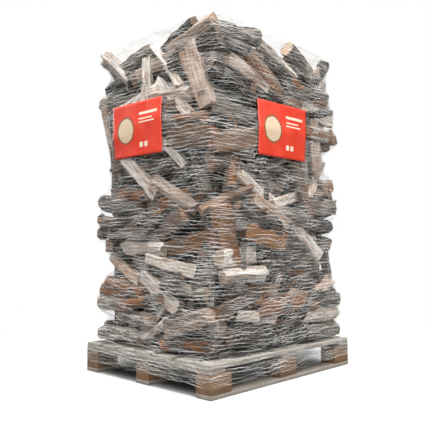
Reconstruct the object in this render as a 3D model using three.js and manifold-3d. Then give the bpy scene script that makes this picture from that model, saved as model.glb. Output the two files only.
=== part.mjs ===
// A pallet of firewood: split logs heaped on a block pallet and held by a stretched knitted net.
// Millimetres, +Z up. The origin is on the ground, under the middle of the pallet.
// The wide side of the pallet, 1200 mm, runs along X, and its front looks along -Y.
import * as THREE from "three";
import { mergeVertices } from "three/addons/utils/BufferGeometryUtils.js";
import Module from "manifold-3d";

const wasm = await Module();
wasm.setup();

// Pallet
const PALLET_X = 1200;
const PALLET_Y = 1000;
const BOARD_THICK = 22;
const BOARD_WIDE = 100;
const BLOCK_TALL = 96;
const BLOCK_LONG = 145; // along X
const DECK_BOARDS = 7;
const DECK_Z = 3 * BOARD_THICK + BLOCK_TALL; // the level that the firewood stands on

// Heap
const HEAP_X = 570; // from the middle to the outermost logs
const HEAP_Y = 484;
const HEAP_TOP = 1888;
const TIP_ROOM = 78; // left free under the heap's top by logs without a set place
const HEAP_CORNER = 1040; // the most that a log's distances from the middle, along X and Y, add up to
const HEART_X = 450; // the solid heart, behind the logs that can be seen
const HEART_Y = 350;
const HEART_TOP = 1670;
const DEEPEST = 250; // how far inside its outline the heap is filled with single logs
const OUTER_ROOM = 58; // left free over the bed of logs for those laid last
const COURSES = 5;
const LOOSE_LOGS = 30; // the logs laid last lie free on the others

// Logs
const LOG_LONG = 330;
const LOG_WIDE = [70, 122];
const LOG_THICK = [54, 84];
const ROUND_LOG = [58, 82];
const BEDDING = 8; // how deep a log settles into those below it
const GAP = 0.35; // between a loose log and its bed
const LENGTH_SPREAD = 24;
const STANDING = 0.05; // share of the logs that stand on end
const LEVEL = 0.65; // share that stands or lies nearly level; the rest lie at any slope
const LEVEL_TURN = 0.5;
const SLOPED_TURN = 1.8;
const END_ROOM = 70; // no log has its middle nearer than this to an end of its side
const LEVEL_ROOM = 30; // or nearer than this to the deck and to the heap's top
const LEANS = [0, 0.09, -0.09, 0.2, -0.2]; // slopes out of its side that a log may take

// Levels where the net draws the heap in: the level, how far it tells up and down, and how deep
const WAISTS = [
  [1180, 140, 38],
  [635, 120, 38],
];

// How the heap is filled
const SEED = 20267;
const CELL = 20; // grid on which each side sees the heap's surface
const CHOICES = 6; // places looked at for each log, of which it takes the one that fills the most
const BED_TRIES = 400;
const LAST_TRIES = 450;

// Net
const NET_HEM = 85; // above the ground
const NET_CLEAR = 5;
const NET_THICK = 3;
const NET_SIDES = 12;
const NET_FOOT = 40; // above the deck, where the net has drawn in to the logs
const NET_STEP = 65;
const NET_MARGIN = 26; // a ring of the net also clears what lies this far beyond its neighbours
const NET_STATIONS = 16; // places along each log that the net is held clear of
const NET_DRAW = 0.35; // how fast the net draws in above and below what it is stretched over

// Labels, an A3 sheet on each of two sides: the middle of each along its side and above the ground
const LABEL_WIDE = 420;
const LABEL_TALL = 297;
const LABEL_THICK = 1.5;
const LABEL_FRONT = { along: -29, height: 1342 };
const LABEL_LEFT = { along: -82, height: 1354 };

// Section of each kind of log, across and outwards, for a log 1 wide and 1 thick
const SECTIONS = {
  bark: [[-0.5, -0.1], [0.06, -0.5], [0.5, -0.1], [0.28, 0.46], [-0.3, 0.44]],
  split: [[-0.36, -0.34], [0.32, -0.5], [0.5, 0.48], [-0.5, 0.4]],
  ridge: [[-0.5, -0.16], [0.02, -0.5], [0.5, -0.1], [0.06, 0.5]],
  round: [[-0.26, -0.44], [0.26, -0.46], [0.5, 0.02], [0.22, 0.46], [-0.28, 0.44], [-0.5, -0.02]],
};
const KINDS = ["bark", "bark", "round", "split", "bark", "ridge", "split", "round", "bark"];

// The sides and corners of the heap: the way along each, the way up it, the way out of it, and its reach
const SLANT = Math.SQRT1_2;
const CORNER_HALF = 200;
const CORNER_SEEN = 440;
const UPRIGHT = [0, 0, 1];
const flank = (along, out, half, depth) => ({ along, up: UPRIGHT, out, half, depth, seen: half + CELL });
const corner = (along, out) => ({
  ...flank(along, out, CORNER_HALF, HEAP_CORNER * SLANT),
  seen: CORNER_SEEN,
});
const SIDES = {
  front: flank([1, 0, 0], [0, -1, 0], HEAP_X, HEAP_Y),
  left: flank([0, -1, 0], [-1, 0, 0], HEAP_Y, HEAP_X),
  front_left: corner([SLANT, -SLANT, 0], [-SLANT, -SLANT, 0]),
  back: flank([-1, 0, 0], [0, 1, 0], HEAP_X, HEAP_Y),
  right: flank([0, 1, 0], [1, 0, 0], HEAP_Y, HEAP_X),
  front_right: corner([SLANT, SLANT, 0], [SLANT, -SLANT, 0]),
  top: { ...flank([1, 0, 0], UPRIGHT, HEAP_X, HEAP_TOP), up: [0, 1, 0] },
  back_left: corner([-SLANT, -SLANT, 0], [-SLANT, SLANT, 0]),
  back_right: corner([-SLANT, SLANT, 0], [SLANT, SLANT, 0]),
};
const SIDE_NAMES = Object.keys(SIDES);

// Logs with a set place, the ones that stand out: side, kind, along, up, turn, wide, thick
const PLACED = [
  ["front", "bark", -362, 1812, 0.1, 100, 80],
  ["front", "bark", -30, 1688, -0.34, 96, 80],
  ["front", "ridge", -23, 1742, -0.38, 76, 62],
  ["front", "round", 230, 1778, -0.42, 94, 90],
  ["front", "round", 412, 1778, 0.66, 66, 64],
  ["front", "split", -265, 1618, -0.3, 62, 62],
  ["front", "bark", -400, 1545, -0.45, 98, 78],
  ["front", "split", 440, 1640, -0.8, 66, 60],
  ["front", "bark", -90, 1490, -0.3, 104, 80],
  ["front", "bark", -330, 1400, -0.1, 104, 78],
  ["front", "split", -380, 1252, 0.22, 112, 66],
  ["front", "ridge", -400, 1168, 0.36, 84, 62],
  ["front", "split", 320, 1325, -1.5, 88, 62],
  ["front", "split", -206, 1020, -0.4, 60, 62],
  ["front", "split", 70, 975, 0.22, 62, 58],
  ["front", "split", 205, 1040, -1.1, 66, 60],
  ["front", "ridge", 375, 1105, 0.75, 74, 66],
  ["front", "ridge", -420, 955, 0.45, 74, 64],
  ["front", "split", -105, 900, -0.43, 66, 66],
  ["front", "split", -440, 765, -1.25, 124, 74],
  ["front", "split", -150, 768, -0.2, 104, 72],
  ["front", "split", 262, 752, -0.66, 64, 58],
  ["front", "round", 430, 850, -0.06, 92, 88],
  ["front", "split", -335, 662, 0.05, 94, 70],
  ["front", "ridge", -300, 574, 0, 92, 70],
  ["front", "split", -345, 436, 0.3, 70, 60],
  ["front", "split", -195, 345, -0.16, 56, 58],
  ["front", "ridge", 400, 318, -0.06, 118, 78],
  ["front", "bark", -260, 258, -0.06, 108, 84],
  ["front", "bark", 60, 224, 0.04, 108, 84],
  ["front", "round", 400, 212, -0.02, 84, 82],
  ["left", "bark", 170, 1812, 0.25, 62, 58],
  ["left", "bark", -205, 1757, 0.34, 86, 78],
  ["left", "ridge", -372, 1757, -0.7, 96, 76],
  ["left", "bark", 316, 1716, 0.3, 110, 84],
  ["left", "ridge", 288, 1792, 0.24, 108, 84],
  ["left", "bark", -318, 1652, 0.05, 104, 80],
  ["left", "round", -318, 1548, -0.05, 88, 84],
  ["left", "split", 345, 1575, -1.25, 122, 66],
  ["left", "ridge", 111, 1668, -0.9, 56, 58],
  ["left", "split", 169, 1493, -0.71, 60, 60],
  ["left", "split", -415, 1420, -1.55, 60, 58],
  ["left", "split", 352, 1262, -0.12, 112, 66],
  ["left", "split", 150, 1200, -0.8, 52, 56],
  ["left", "split", -105, 1100, -0.73, 80, 62],
  ["left", "ridge", 151, 984, -0.51, 86, 70],
  ["left", "bark", 285, 1110, 0.2, 98, 78],
  ["left", "bark", -320, 955, -0.12, 100, 80],
  ["left", "split", 105, 812, 0.42, 92, 66],
  ["left", "ridge", -90, 706, -0.06, 88, 68],
  ["left", "split", -250, 590, -0.4, 60, 60],
  ["left", "split", 125, 622, -0.2, 70, 60],
  ["left", "split", 60, 480, -0.52, 84, 62],
  ["left", "round", -330, 440, -0.15, 84, 80],
  ["left", "split", 280, 335, 0.3, 96, 66],
  ["left", "ridge", -20, 256, 0.48, 54, 56],
  ["left", "bark", -285, 208, -0.03, 84, 80],
  ["left", "round", -185, 322, 0.03, 78, 76],
  ["left", "round", 240, 214, 0.05, 88, 84],
  ["back", "ridge", -300, 1780, 0.3, 100, 80],
  ["back", "bark", 100, 1785, -0.22, 104, 82],
  ["back", "split", 370, 1765, 0.5, 84, 62],
  ["back", "split", -150, 1310, -0.5, 90, 64],
  ["back", "split", 240, 1060, 0.4, 76, 62],
  ["back", "ridge", -350, 820, -0.6, 84, 66],
  ["back", "split", 80, 520, -0.3, 88, 62],
  ["right", "bark", -190, 1780, 0.3, 104, 80],
  ["right", "split", 230, 1770, -0.35, 90, 66],
  ["right", "split", -100, 1260, 0.6, 80, 62],
  ["right", "split", 200, 900, -0.5, 90, 66],
  ["right", "ridge", -250, 560, 0.3, 84, 64],
  ["right", "bark", -290, 222, 0.04, 106, 84],
  ["right", "bark", 130, 218, -0.03, 98, 80],
  ["back", "bark", -330, 220, 0.03, 104, 84],
  ["back", "round", 60, 212, -0.05, 82, 80],
];
const SHIFT_TRIES = 40; // a placed log that reaches past the outline is moved in by small steps
const SHIFT = 4;

// Numbers that look random and are the same on every run
function randomNumbers(seed) {
  let state = seed;
  return () => {
    state = (state * 48271) % 2147483647;
    return state / 2147483647;
  };
}

const between = ([low, high], share) => low + (high - low) * share;
const hundredth = (x) => Math.floor(x * 100 + 0.5) / 100;
const dot = (a, b) => a[0] * b[0] + a[1] * b[1] + a[2] * b[2];
const steps = (count) => Array.from({ length: count }, (_, i) => (i + 0.5) / count - 0.5);

// Lowest and highest point of a section at p across it
function span(kind, p) {
  const points = SECTIONS[kind];
  let low = 1;
  let high = -1;
  points.forEach(([p0, q0], i) => {
    const [p1, q1] = points[(i + 1) % points.length];
    if ((p0 - p) * (p1 - p) > 0 || p0 === p1) return;
    const q = q0 + ((q1 - q0) * (p - p0)) / (p1 - p0);
    low = Math.min(low, q);
    high = Math.max(high, q);
  });
  return [low, high];
}

// Where a point at s along a log and a across it lies on the log's side
const onSide = (log, s, a) => [
  log.u + s * Math.cos(log.turn) - a * Math.sin(log.turn),
  log.v + s * Math.sin(log.turn) + a * Math.cos(log.turn),
];

// The point of a log at s along it, a across it and t outwards, in the world
function pointOf(log, s, a, t) {
  const { along, up, out } = SIDES[log.side];
  const [u, v] = onSide(log, s, a);
  const w = log.w + s * log.lean + t;
  return [0, 1, 2].map((i) => u * along[i] + v * up[i] + w * out[i]);
}

// The heap as one side sees it: how far out it reaches in each cell, and which log is there
class Surface {
  constructor(side) {
    this.side = side;
    const isTop = side.out === UPRIGHT;
    this.low = isTop ? -HEAP_Y - CELL : DECK_Z;
    this.columns = Math.ceil((2 * side.seen) / CELL);
    this.rows = Math.ceil(((isTop ? HEAP_Y + CELL : HEAP_TOP) - this.low) / CELL);
    this.reach = new Array(this.columns * this.rows).fill(-Infinity);
    this.owner = new Array(this.columns * this.rows).fill(null);
  }
  cell(u, v) {
    const column = Math.floor((u + this.side.seen) / CELL);
    const row = Math.floor((v - this.low) / CELL);
    const inside = column >= 0 && column < this.columns && row >= 0 && row < this.rows;
    return inside ? row * this.columns + column : -1;
  }
  mark(point, log) {
    const cell = this.cell(dot(point, this.side.along), dot(point, this.side.up));
    const out = dot(point, this.side.out);
    if (cell < 0 || out <= this.reach[cell]) return;
    this.reach[cell] = out;
    this.owner[cell] = log;
  }
}

// Lays a log on its side with the lean that lets it in deepest, and gives how much hollow it fills
function rest(surfaces, log) {
  const surface = surfaces[log.side];
  const floor = surface.side.depth - DEEPEST;
  const touched = [];
  for (const along of steps(9))
    for (const across of steps(5)) {
      const s = along * log.long;
      const cell = surface.cell(...onSide(log, s, across * log.wide));
      const [low, high] = span(log.kind, across);
      const reach = cell < 0 ? -Infinity : surface.reach[cell];
      touched.push({ s, reach, low: low * log.thick, high: high * log.thick });
    }
  let best = Infinity;
  for (const lean of LEANS) {
    const need = Math.max(...touched.map(({ s, reach, low }) => reach - low - s * lean));
    if (need < best - 1) {
      best = need;
      log.lean = lean;
    }
  }
  if (best < floor) return 0;
  log.w = hundredth(best - BEDDING);
  const filled = ({ s, reach, high }) => Math.max(0, log.w + high + s * log.lean - Math.max(reach, floor));
  return touched.reduce((sum, touch) => sum + filled(touch), 0);
}

// How far the net draws the heap in at a level
function waistAt(level) {
  const depths = WAISTS.map(([middle, tells, deep]) => deep * Math.max(0, 1 - ((level - middle) / tells) ** 2));
  return depths.reduce((sum, depth) => sum + depth);
}

// How far a log reaches past the heap's outline: sideways, and past its top or bottom
function excess(log, room) {
  const side = SIDES[log.side];
  const top = log.placed ? HEAP_TOP : HEAP_TOP - TIP_ROOM;
  let sideways = -Infinity;
  let upright = -Infinity;
  for (const end of [-0.5, 0.5])
    for (const [p, q] of SECTIONS[log.kind]) {
      const [x, y, z] = pointOf(log, end * log.long, p * log.wide, q * log.thick);
      const waist = log.placed ? 0 : waistAt(z);
      const askew = Math.abs(x) + Math.abs(y) - HEAP_CORNER;
      const around = Math.max(Math.abs(x) - HEAP_X, Math.abs(y) - HEAP_Y, askew);
      const own = dot([x, y, z], side.out) - side.depth + room;
      sideways = Math.max(sideways, around + waist, own);
      upright = Math.max(upright, z - top, DECK_Z + 1 - z);
    }
  return { sideways, upright };
}

// Whether a log would hide one that has a set place
function hidesPlaced(surfaces, log) {
  const surface = surfaces[log.side];
  let hidden = 0;
  for (const along of steps(9))
    for (const across of steps(3)) {
      const cell = surface.cell(...onSide(log, along * log.long, across * log.wide));
      if (cell >= 0 && surface.owner[cell]?.placed) hidden++;
    }
  return hidden > 2;
}

// Shows a log to every side
function markLog(surfaces, log) {
  for (const along of steps(17))
    for (const across of steps(6)) {
      const [low, high] = span(log.kind, across);
      for (const share of [0, 0.33, 0.67, 1]) {
        const t = between([low, high], share) * log.thick;
        const point = pointOf(log, along * log.long, across * log.wide, t);
        for (const name of SIDE_NAMES) surfaces[name].mark(point, log);
      }
    }
}

function markHeart(surfaces) {
  const step = CELL * 0.7;
  for (let x = -HEART_X; x <= HEART_X; x += step)
    for (let y = -HEART_Y; y <= HEART_Y; y += step)
      for (let z = DECK_Z; z <= HEART_TOP; z += step) {
        const shell = HEART_X - Math.abs(x) < step || HEART_Y - Math.abs(y) < step || HEART_TOP - z < step;
        if (shell) for (const name of SIDE_NAMES) surfaces[name].mark([x, y, z], null);
      }
}

function randomLog(random, name) {
  const side = SIDES[name];
  const kind = KINDS[Math.floor(random() * KINDS.length)];
  const steep = random();
  const turn = random() - 0.5;
  const size = random();
  const shape = random();
  const wide = kind === "round" ? between(ROUND_LOG, size) : between(LOG_WIDE, size);
  const depth = HEAP_Y - END_ROOM;
  const levels = side.out === UPRIGHT ? [-depth, depth] : [DECK_Z + LEVEL_ROOM, HEAP_TOP - LEVEL_ROOM];
  const level = between(levels, random());
  const slope = turn * (steep < LEVEL ? LEVEL_TURN : SLOPED_TURN);
  return {
    side: name,
    kind,
    u: hundredth((2 * random() - 1) * (side.half - END_ROOM)),
    v: hundredth(level),
    turn: hundredth(steep < STANDING ? Math.PI / 2 + slope : slope),
    long: hundredth(LOG_LONG + LENGTH_SPREAD * (random() - 0.5)),
    wide: hundredth(wide),
    thick: hundredth(kind === "round" ? wide : between(LOG_THICK, shape)),
  };
}

function placedLog(surfaces, [side, kind, u, v, turn, wide, thick]) {
  const log = { side, kind, u, v, turn, wide, thick, long: LOG_LONG, w: Infinity, placed: true };
  for (let shift = 0; shift < SHIFT_TRIES; shift++) {
    rest(surfaces, log);
    log.w = Math.min(log.w, SIDES[side].depth - thick / 2 - (Math.abs(log.lean) * LOG_LONG) / 2);
    const { sideways, upright } = excess(log, 0);
    if (sideways > 0) log.u -= Math.sign(log.u) * SHIFT;
    if (upright > 0) log.v -= Math.sign(log.v - HEAP_TOP / 2) * SHIFT;
    if (sideways <= 0 && upright <= 0) break;
  }
  return log;
}

// Fills the heap: a bed of logs on every side, then those with a set place, then what still finds room
function heapOfLogs() {
  const surfaces = Object.fromEntries(SIDE_NAMES.map((name) => [name, new Surface(SIDES[name])]));
  const random = randomNumbers(SEED);
  const logs = [];
  const keep = (log) => {
    markLog(surfaces, log);
    logs.push(log);
  };
  const fill = (tries, room) => {
    for (let n = 0; n < tries; n++) {
      const name = SIDE_NAMES[n % SIDE_NAMES.length];
      let chosen = null;
      let most = 0;
      for (let i = 0; i < CHOICES; i++) {
        const log = randomLog(random, name);
        const filled = rest(surfaces, log);
        if (filled <= most) continue;
        const { sideways, upright } = excess(log, room);
        if (sideways > 0 || upright > 0 || hidesPlaced(surfaces, log)) continue;
        most = filled;
        chosen = log;
      }
      if (chosen) keep(chosen);
    }
  };
  markHeart(surfaces);
  fill(BED_TRIES, OUTER_ROOM);
  for (const place of PLACED) keep(placedLog(surfaces, place));
  fill(LAST_TRIES, 0);
  return logs;
}

// A three.js geometry as a solid, and back
function solidOf(geometry) {
  const bare = geometry.clone();
  bare.deleteAttribute("normal");
  bare.deleteAttribute("uv");
  const merged = mergeVertices(bare, 1e-3);
  const mesh = new wasm.Mesh({
    numProp: 3,
    vertProperties: new Float32Array(merged.attributes.position.array),
    triVerts: new Uint32Array(merged.index.array),
  });
  return new wasm.Manifold(mesh);
}

function geometryOf(solid) {
  const { vertProperties, triVerts } = solid.getMesh();
  return new THREE.BufferGeometry()
    .setAttribute("position", new THREE.BufferAttribute(vertProperties, 3))
    .setIndex(new THREE.BufferAttribute(triVerts, 1));
}

// The biggest piece of a solid, without the chips that a cut leaves
const biggest = (solid) =>
  solid.decompose().reduce((best, piece) => (piece.volume() > best.volume() ? piece : best));

// A log in its place, grown by some millimetres all round
function logSolid(log, grow = 0) {
  const outline = SECTIONS[log.kind].map(
    ([p, q]) => new THREE.Vector2(p * (log.wide + 2 * grow), q * (log.thick + 2 * grow)),
  );
  const long = log.long + 2 * grow;
  const shape = new THREE.Shape(outline);
  const geometry = new THREE.ExtrudeGeometry(shape, { depth: long, bevelEnabled: false });
  const [centre, ahead, beside] = [[0, 0, 0], [1, 0, 0], [0, 1, 0]].map(
    ([s, a, t]) => new THREE.Vector3(...pointOf(log, s, a, t)),
  );
  const axis = ahead.sub(centre).normalize();
  const across = beside.sub(centre);
  const outwards = axis.clone().cross(across);
  const place = new THREE.Matrix4().makeBasis(across, outwards, axis).setPosition(centre);
  return solidOf(geometry.translate(0, 0, -long / 2).applyMatrix4(place));
}

// The part of the heap's heart between two levels, grown by some millimetres all round
function heartSolid(low, high, grow = 0) {
  const box = new THREE.BoxGeometry(2 * (HEART_X + grow), 2 * (HEART_Y + grow), high - low + 2 * grow);
  return solidOf(box.translate(0, 0, (low + high) / 2));
}

// The logs of the heap, fused in courses: each log joins the course that it lies on the most
function coursesOf(logs, loose) {
  const tall = (HEART_TOP - DECK_Z) / COURSES;
  const courses = Array.from({ length: COURSES }, (_, i) => {
    const low = DECK_Z + GAP + i * tall;
    const high = low + tall - GAP;
    return { solid: heartSolid(low, high), grown: heartSolid(low, high, GAP) };
  });
  for (const log of logs) {
    const solid = logSolid(log);
    const shared = courses.map((course) => course.solid.intersect(solid).volume());
    const course = courses[shared.indexOf(Math.max(...shared))];
    course.solid = course.solid.add(solid);
    course.grown = course.grown.add(logSolid(log, GAP));
  }
  return courses.map(({ solid }, i) => {
    const below = courses.slice(0, i).reduce((left, course) => left.subtract(course.grown), solid);
    return biggest(loose.reduce((left, log) => left.subtract(logSolid(log, GAP)), below));
  });
}

// Loose logs, each cut where it meets one laid before it
function looseSolids(loose) {
  return loose.map((log, i) => {
    const earlier = loose.slice(0, i);
    return biggest(earlier.reduce((left, other) => left.subtract(logSolid(other, GAP)), logSolid(log)));
  });
}

// The net's rings: at each level, how far out it is stretched in each direction
function netRings(logs) {
  const stations = Array.from({ length: NET_STATIONS + 1 }, (_, i) => i / NET_STATIONS - 0.5);
  const points = logs.flatMap((log) =>
    stations.flatMap((along) =>
      SECTIONS[log.kind].map(([p, q]) => pointOf(log, along * log.long, p * log.wide, q * log.thick)),
    ),
  );
  const top = Math.max(...points.map((point) => point[2]));
  const foot = DECK_Z + NET_FOOT;
  const count = Math.round((top - foot) / NET_STEP);
  const levels = Array.from({ length: count + 1 }, (_, i) => between([foot, top], i / count));
  const directions = Array.from({ length: NET_SIDES }, (_, i) => (i * 2 * Math.PI) / NET_SIDES);
  const reachOf = (some, angle) =>
    Math.max(...some.map(([x, y]) => x * Math.cos(angle) + y * Math.sin(angle)));
  const close = levels.map((level, i) => {
    const low = (levels[i - 1] ?? DECK_Z) - NET_MARGIN;
    const high = (levels[i + 1] ?? top) + NET_MARGIN;
    const some = points.filter((point) => point[2] >= low && point[2] <= high);
    return directions.map((angle) => reachOf(some, angle));
  });
  const drawnIn = (gap) => 1 - (NET_DRAW * Math.abs(gap)) / HEAP_X;
  const stretched = (level, k) => Math.max(...close.map((ring, m) => ring[k] * drawnIn(level - levels[m])));
  const rings = levels.map((level) => ({ level, reach: directions.map((_, k) => stretched(level, k)) }));
  const deck = [-1, 1].flatMap((i) => [-1, 1].map((j) => [(i * PALLET_X) / 2, (j * PALLET_Y) / 2]));
  const around = directions.map((angle) => reachOf(deck, angle));
  return [{ level: NET_HEM, reach: around }, { level: DECK_Z + NET_CLEAR, reach: around }, ...rings];
}

// The space inside the rings, grown by some millimetres all round: a cylinder with its points moved
function netFilling(rings, grow, below) {
  const geometry = new THREE.CylinderGeometry(1, 1, rings.length - 1, NET_SIDES, rings.length - 1);
  const position = geometry.attributes.position;
  const turn = (2 * Math.PI) / NET_SIDES;
  for (let i = 0; i < position.count; i++) {
    const x = position.getX(i);
    const z = position.getZ(i);
    const ring = rings[Math.round(position.getY(i) + (rings.length - 1) / 2)];
    const isTop = ring === rings[rings.length - 1];
    const level = ring.level + (isTop ? grow : 0) - (ring === rings[0] ? below : 0);
    const k = (Math.round(Math.atan2(-z, x) / turn) + NET_SIDES) % NET_SIDES;
    const here = ring.reach[k] + grow;
    const next = ring.reach[(k + 1) % NET_SIDES] + grow;
    const beside = (next - here * Math.cos(turn)) / Math.sin(turn);
    const onAxis = Math.hypot(x, z) < 0.5;
    const outX = onAxis ? 0 : here * Math.cos(k * turn) - beside * Math.sin(k * turn);
    const outY = onAxis ? 0 : here * Math.sin(k * turn) + beside * Math.cos(k * turn);
    position.setXYZ(i, outX, outY, level);
  }
  return solidOf(geometry);
}

const netSolid = (rings) =>
  netFilling(rings, NET_CLEAR + NET_THICK, 0).subtract(netFilling(rings, NET_CLEAR, NET_THICK));

// How far out the net lies behind a label
function behindLabel(rings, { height }, direction) {
  const reaches = rings
    .filter(({ level }) => Math.abs(level - height) < LABEL_TALL / 2 + NET_STEP)
    .map(({ reach }) => reach[direction]);
  return Math.max(...reaches) + NET_CLEAR + NET_THICK + GAP;
}

// Finishes
const finish = (color, roughness) => new THREE.MeshStandardMaterial({ color, roughness, metalness: 0 });
const BARK = finish(0x57514b, 0.95);
const SPLIT_WOOD = finish(0xb99a7e, 0.85);
const BOARD = finish(0xd0bda2, 0.85);
const BLOCK = finish(0x7d6247, 0.9);
const NET_YARN = finish(0xf2f2ee, 0.5);
NET_YARN.transparent = true;
NET_YARN.opacity = 0.3;
const LABEL_RED = finish(0xe6573d, 0.5);

const root = new THREE.Group();

function addPiece(parent, name, geometry, material, place = [0, 0, 0]) {
  const mesh = new THREE.Mesh(geometry, material);
  mesh.name = name;
  mesh.position.set(...place);
  parent.add(mesh);
}

const numbered = (name, i) => name + "_" + String(i + 1).padStart(2, "0");

function buildPallet() {
  const pallet = new THREE.Group();
  const lengthwise = new THREE.BoxGeometry(PALLET_X, BOARD_WIDE, BOARD_THICK);
  const crosswise = new THREE.BoxGeometry(BOARD_WIDE, PALLET_Y, BOARD_THICK);
  const block = new THREE.BoxGeometry(BLOCK_LONG, BOARD_WIDE, BLOCK_TALL);
  const rowY = (PALLET_Y - BOARD_WIDE) / 2;
  const stringerZ = BOARD_THICK + BLOCK_TALL + BOARD_THICK / 2;
  const stringerX = (PALLET_X - BOARD_WIDE) / 2;
  [-1, 0, 1].forEach((i, n) => {
    addPiece(pallet, numbered("bottom_board", n), lengthwise, BOARD, [0, i * rowY, BOARD_THICK / 2]);
    addPiece(pallet, numbered("stringer_board", n), crosswise, BOARD, [i * stringerX, 0, stringerZ]);
    [-1, 0, 1].forEach((j, m) => {
      const place = [(j * (PALLET_X - BLOCK_LONG)) / 2, i * rowY, BOARD_THICK + BLOCK_TALL / 2];
      addPiece(pallet, numbered("block", 3 * n + m), block, BLOCK, place);
    });
  });
  steps(DECK_BOARDS).forEach((share, n) => {
    const y = (share * DECK_BOARDS * 2 * rowY) / (DECK_BOARDS - 1);
    addPiece(pallet, numbered("deck_board", n), lengthwise, BOARD, [0, y, DECK_Z - BOARD_THICK / 2]);
  });
  return pallet;
}

function buildFirewood(logs) {
  const firewood = new THREE.Group();
  const bedded = logs.slice(0, -LOOSE_LOGS);
  const loose = logs.slice(-LOOSE_LOGS);
  coursesOf(bedded, loose).forEach((solid, n) => {
    addPiece(firewood, numbered("logs_course", n), geometryOf(solid), BARK);
  });
  looseSolids(loose).forEach((solid, n) => {
    const material = loose[n].kind === "split" || loose[n].kind === "ridge" ? SPLIT_WOOD : BARK;
    addPiece(firewood, numbered("loose_log", n), geometryOf(solid), material);
  });
  return firewood;
}

function buildWrapping(logs) {
  const wrapping = new THREE.Group();
  const rings = netRings(logs);
  const sheet = new THREE.BoxGeometry(LABEL_WIDE, LABEL_THICK, LABEL_TALL);
  const frontY = -behindLabel(rings, LABEL_FRONT, (3 * NET_SIDES) / 4) - LABEL_THICK / 2;
  const leftX = -behindLabel(rings, LABEL_LEFT, NET_SIDES / 2) - LABEL_THICK / 2;
  addPiece(wrapping, "net", geometryOf(netSolid(rings)), NET_YARN);
  addPiece(wrapping, "label_front", sheet, LABEL_RED, [LABEL_FRONT.along, frontY, LABEL_FRONT.height]);
  const turned = sheet.clone().rotateZ(Math.PI / 2);
  addPiece(wrapping, "label_left", turned, LABEL_RED, [leftX, -LABEL_LEFT.along, LABEL_LEFT.height]);
  return wrapping;
}

const logs = heapOfLogs();
root.add(buildPallet(), buildFirewood(logs), buildWrapping(logs));

export default root;
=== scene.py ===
"""A pallet of firewood: every log, the knitted net, the two labels and the pallet's boards.

Lengths are in metres and +Z is up. The heap is laid the same way as in the solids, in millimetres.
"""

import math
import random

import bmesh
import bpy
import numpy as np
from mathutils import Matrix, Vector, noise


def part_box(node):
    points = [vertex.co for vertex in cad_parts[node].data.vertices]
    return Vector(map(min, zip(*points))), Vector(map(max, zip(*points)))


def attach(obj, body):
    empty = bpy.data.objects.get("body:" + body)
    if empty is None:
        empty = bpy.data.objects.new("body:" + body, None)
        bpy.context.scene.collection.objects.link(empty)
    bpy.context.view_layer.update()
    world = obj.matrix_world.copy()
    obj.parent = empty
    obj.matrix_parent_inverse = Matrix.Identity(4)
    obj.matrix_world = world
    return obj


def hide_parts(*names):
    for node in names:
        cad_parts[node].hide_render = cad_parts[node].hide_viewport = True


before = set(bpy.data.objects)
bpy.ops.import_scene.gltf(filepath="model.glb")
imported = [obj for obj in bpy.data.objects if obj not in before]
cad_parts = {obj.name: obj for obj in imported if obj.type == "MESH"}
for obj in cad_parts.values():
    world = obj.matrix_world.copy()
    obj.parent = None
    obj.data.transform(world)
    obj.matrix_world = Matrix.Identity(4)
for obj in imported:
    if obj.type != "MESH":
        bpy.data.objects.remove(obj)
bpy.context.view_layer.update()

MM = 0.001

# Camera: degrees, millimetres of lens, and metres from the pallet's near corner
NEAR_CORNER = Vector((-0.6, -0.5, 0.0))
CAMERA_AZIMUTH = -46.26
CAMERA_DISTANCE = 2.791
CAMERA_ASIDE = 0.0193
CAMERA_HEIGHT = 0.725
CAMERA_LENS = 49.71
CAMERA_TILT = 2.877

# Heap, in millimetres
PALLET_X = 1200
PALLET_Y = 1000
DECK_Z = 162
HEAP_X = 570
HEAP_Y = 484
HEAP_TOP = 1888
TIP_ROOM = 78
HEAP_CORNER = 1040
HEART_X = 450
HEART_Y = 350
HEART_TOP = 1670
DEEPEST = 250
OUTER_ROOM = 58
COURSES = 5
LOOSE_LOGS = 30

# Logs, in millimetres
LOG_LONG = 330
LOG_WIDE = (70, 122)
LOG_THICK = (54, 84)
ROUND_LOG = (58, 82)
BEDDING = 8
LENGTH_SPREAD = 24
STANDING = 0.05
LEVEL = 0.65
LEVEL_TURN = 0.5
SLOPED_TURN = 1.8
END_ROOM = 70
LEVEL_ROOM = 30
LEANS = (0, 0.09, -0.09, 0.2, -0.2)

# Levels where the net draws the heap in: the level, how far it tells up and down, and how deep
WAISTS = ((1180, 140, 38), (635, 120, 38))

# How the heap is filled
SEED = 20267
CELL = 20
CHOICES = 6
BED_TRIES = 400
LAST_TRIES = 450
SHIFT_TRIES = 40
SHIFT = 4
HOLLOW_TRIES = 900
LEAST_FILLED = 260
HOLLOW_BEDDING = 20
HOLLOW_WIDE = 0.85
HOLLOW_THICK = 0.9
HIDING = 200

SECTIONS = {
    "bark": [(-0.5, -0.1), (0.06, -0.5), (0.5, -0.1), (0.28, 0.46), (-0.3, 0.44)],
    "split": [(-0.36, -0.34), (0.32, -0.5), (0.5, 0.48), (-0.5, 0.4)],
    "ridge": [(-0.5, -0.16), (0.02, -0.5), (0.5, -0.1), (0.06, 0.5)],
    "round": [(-0.26, -0.44), (0.26, -0.46), (0.5, 0.02), (0.22, 0.46), (-0.28, 0.44), (-0.5, -0.02)],
}
KINDS = ["bark", "bark", "round", "split", "bark", "ridge", "split", "round", "bark"]

# Which stretches of each section carry bark, and where the log's pith lies
BARKED = {
    "bark": (False, False, True, True, True),
    "split": (True, False, False, False),
    "ridge": (True, True, False, False),
    "round": (True,) * 6,
}
PITH = {"bark": (0.06, -0.5), "split": (0.05, 0.95), "ridge": (0.06, 0.5), "round": (0.0, 0.0)}

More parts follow.
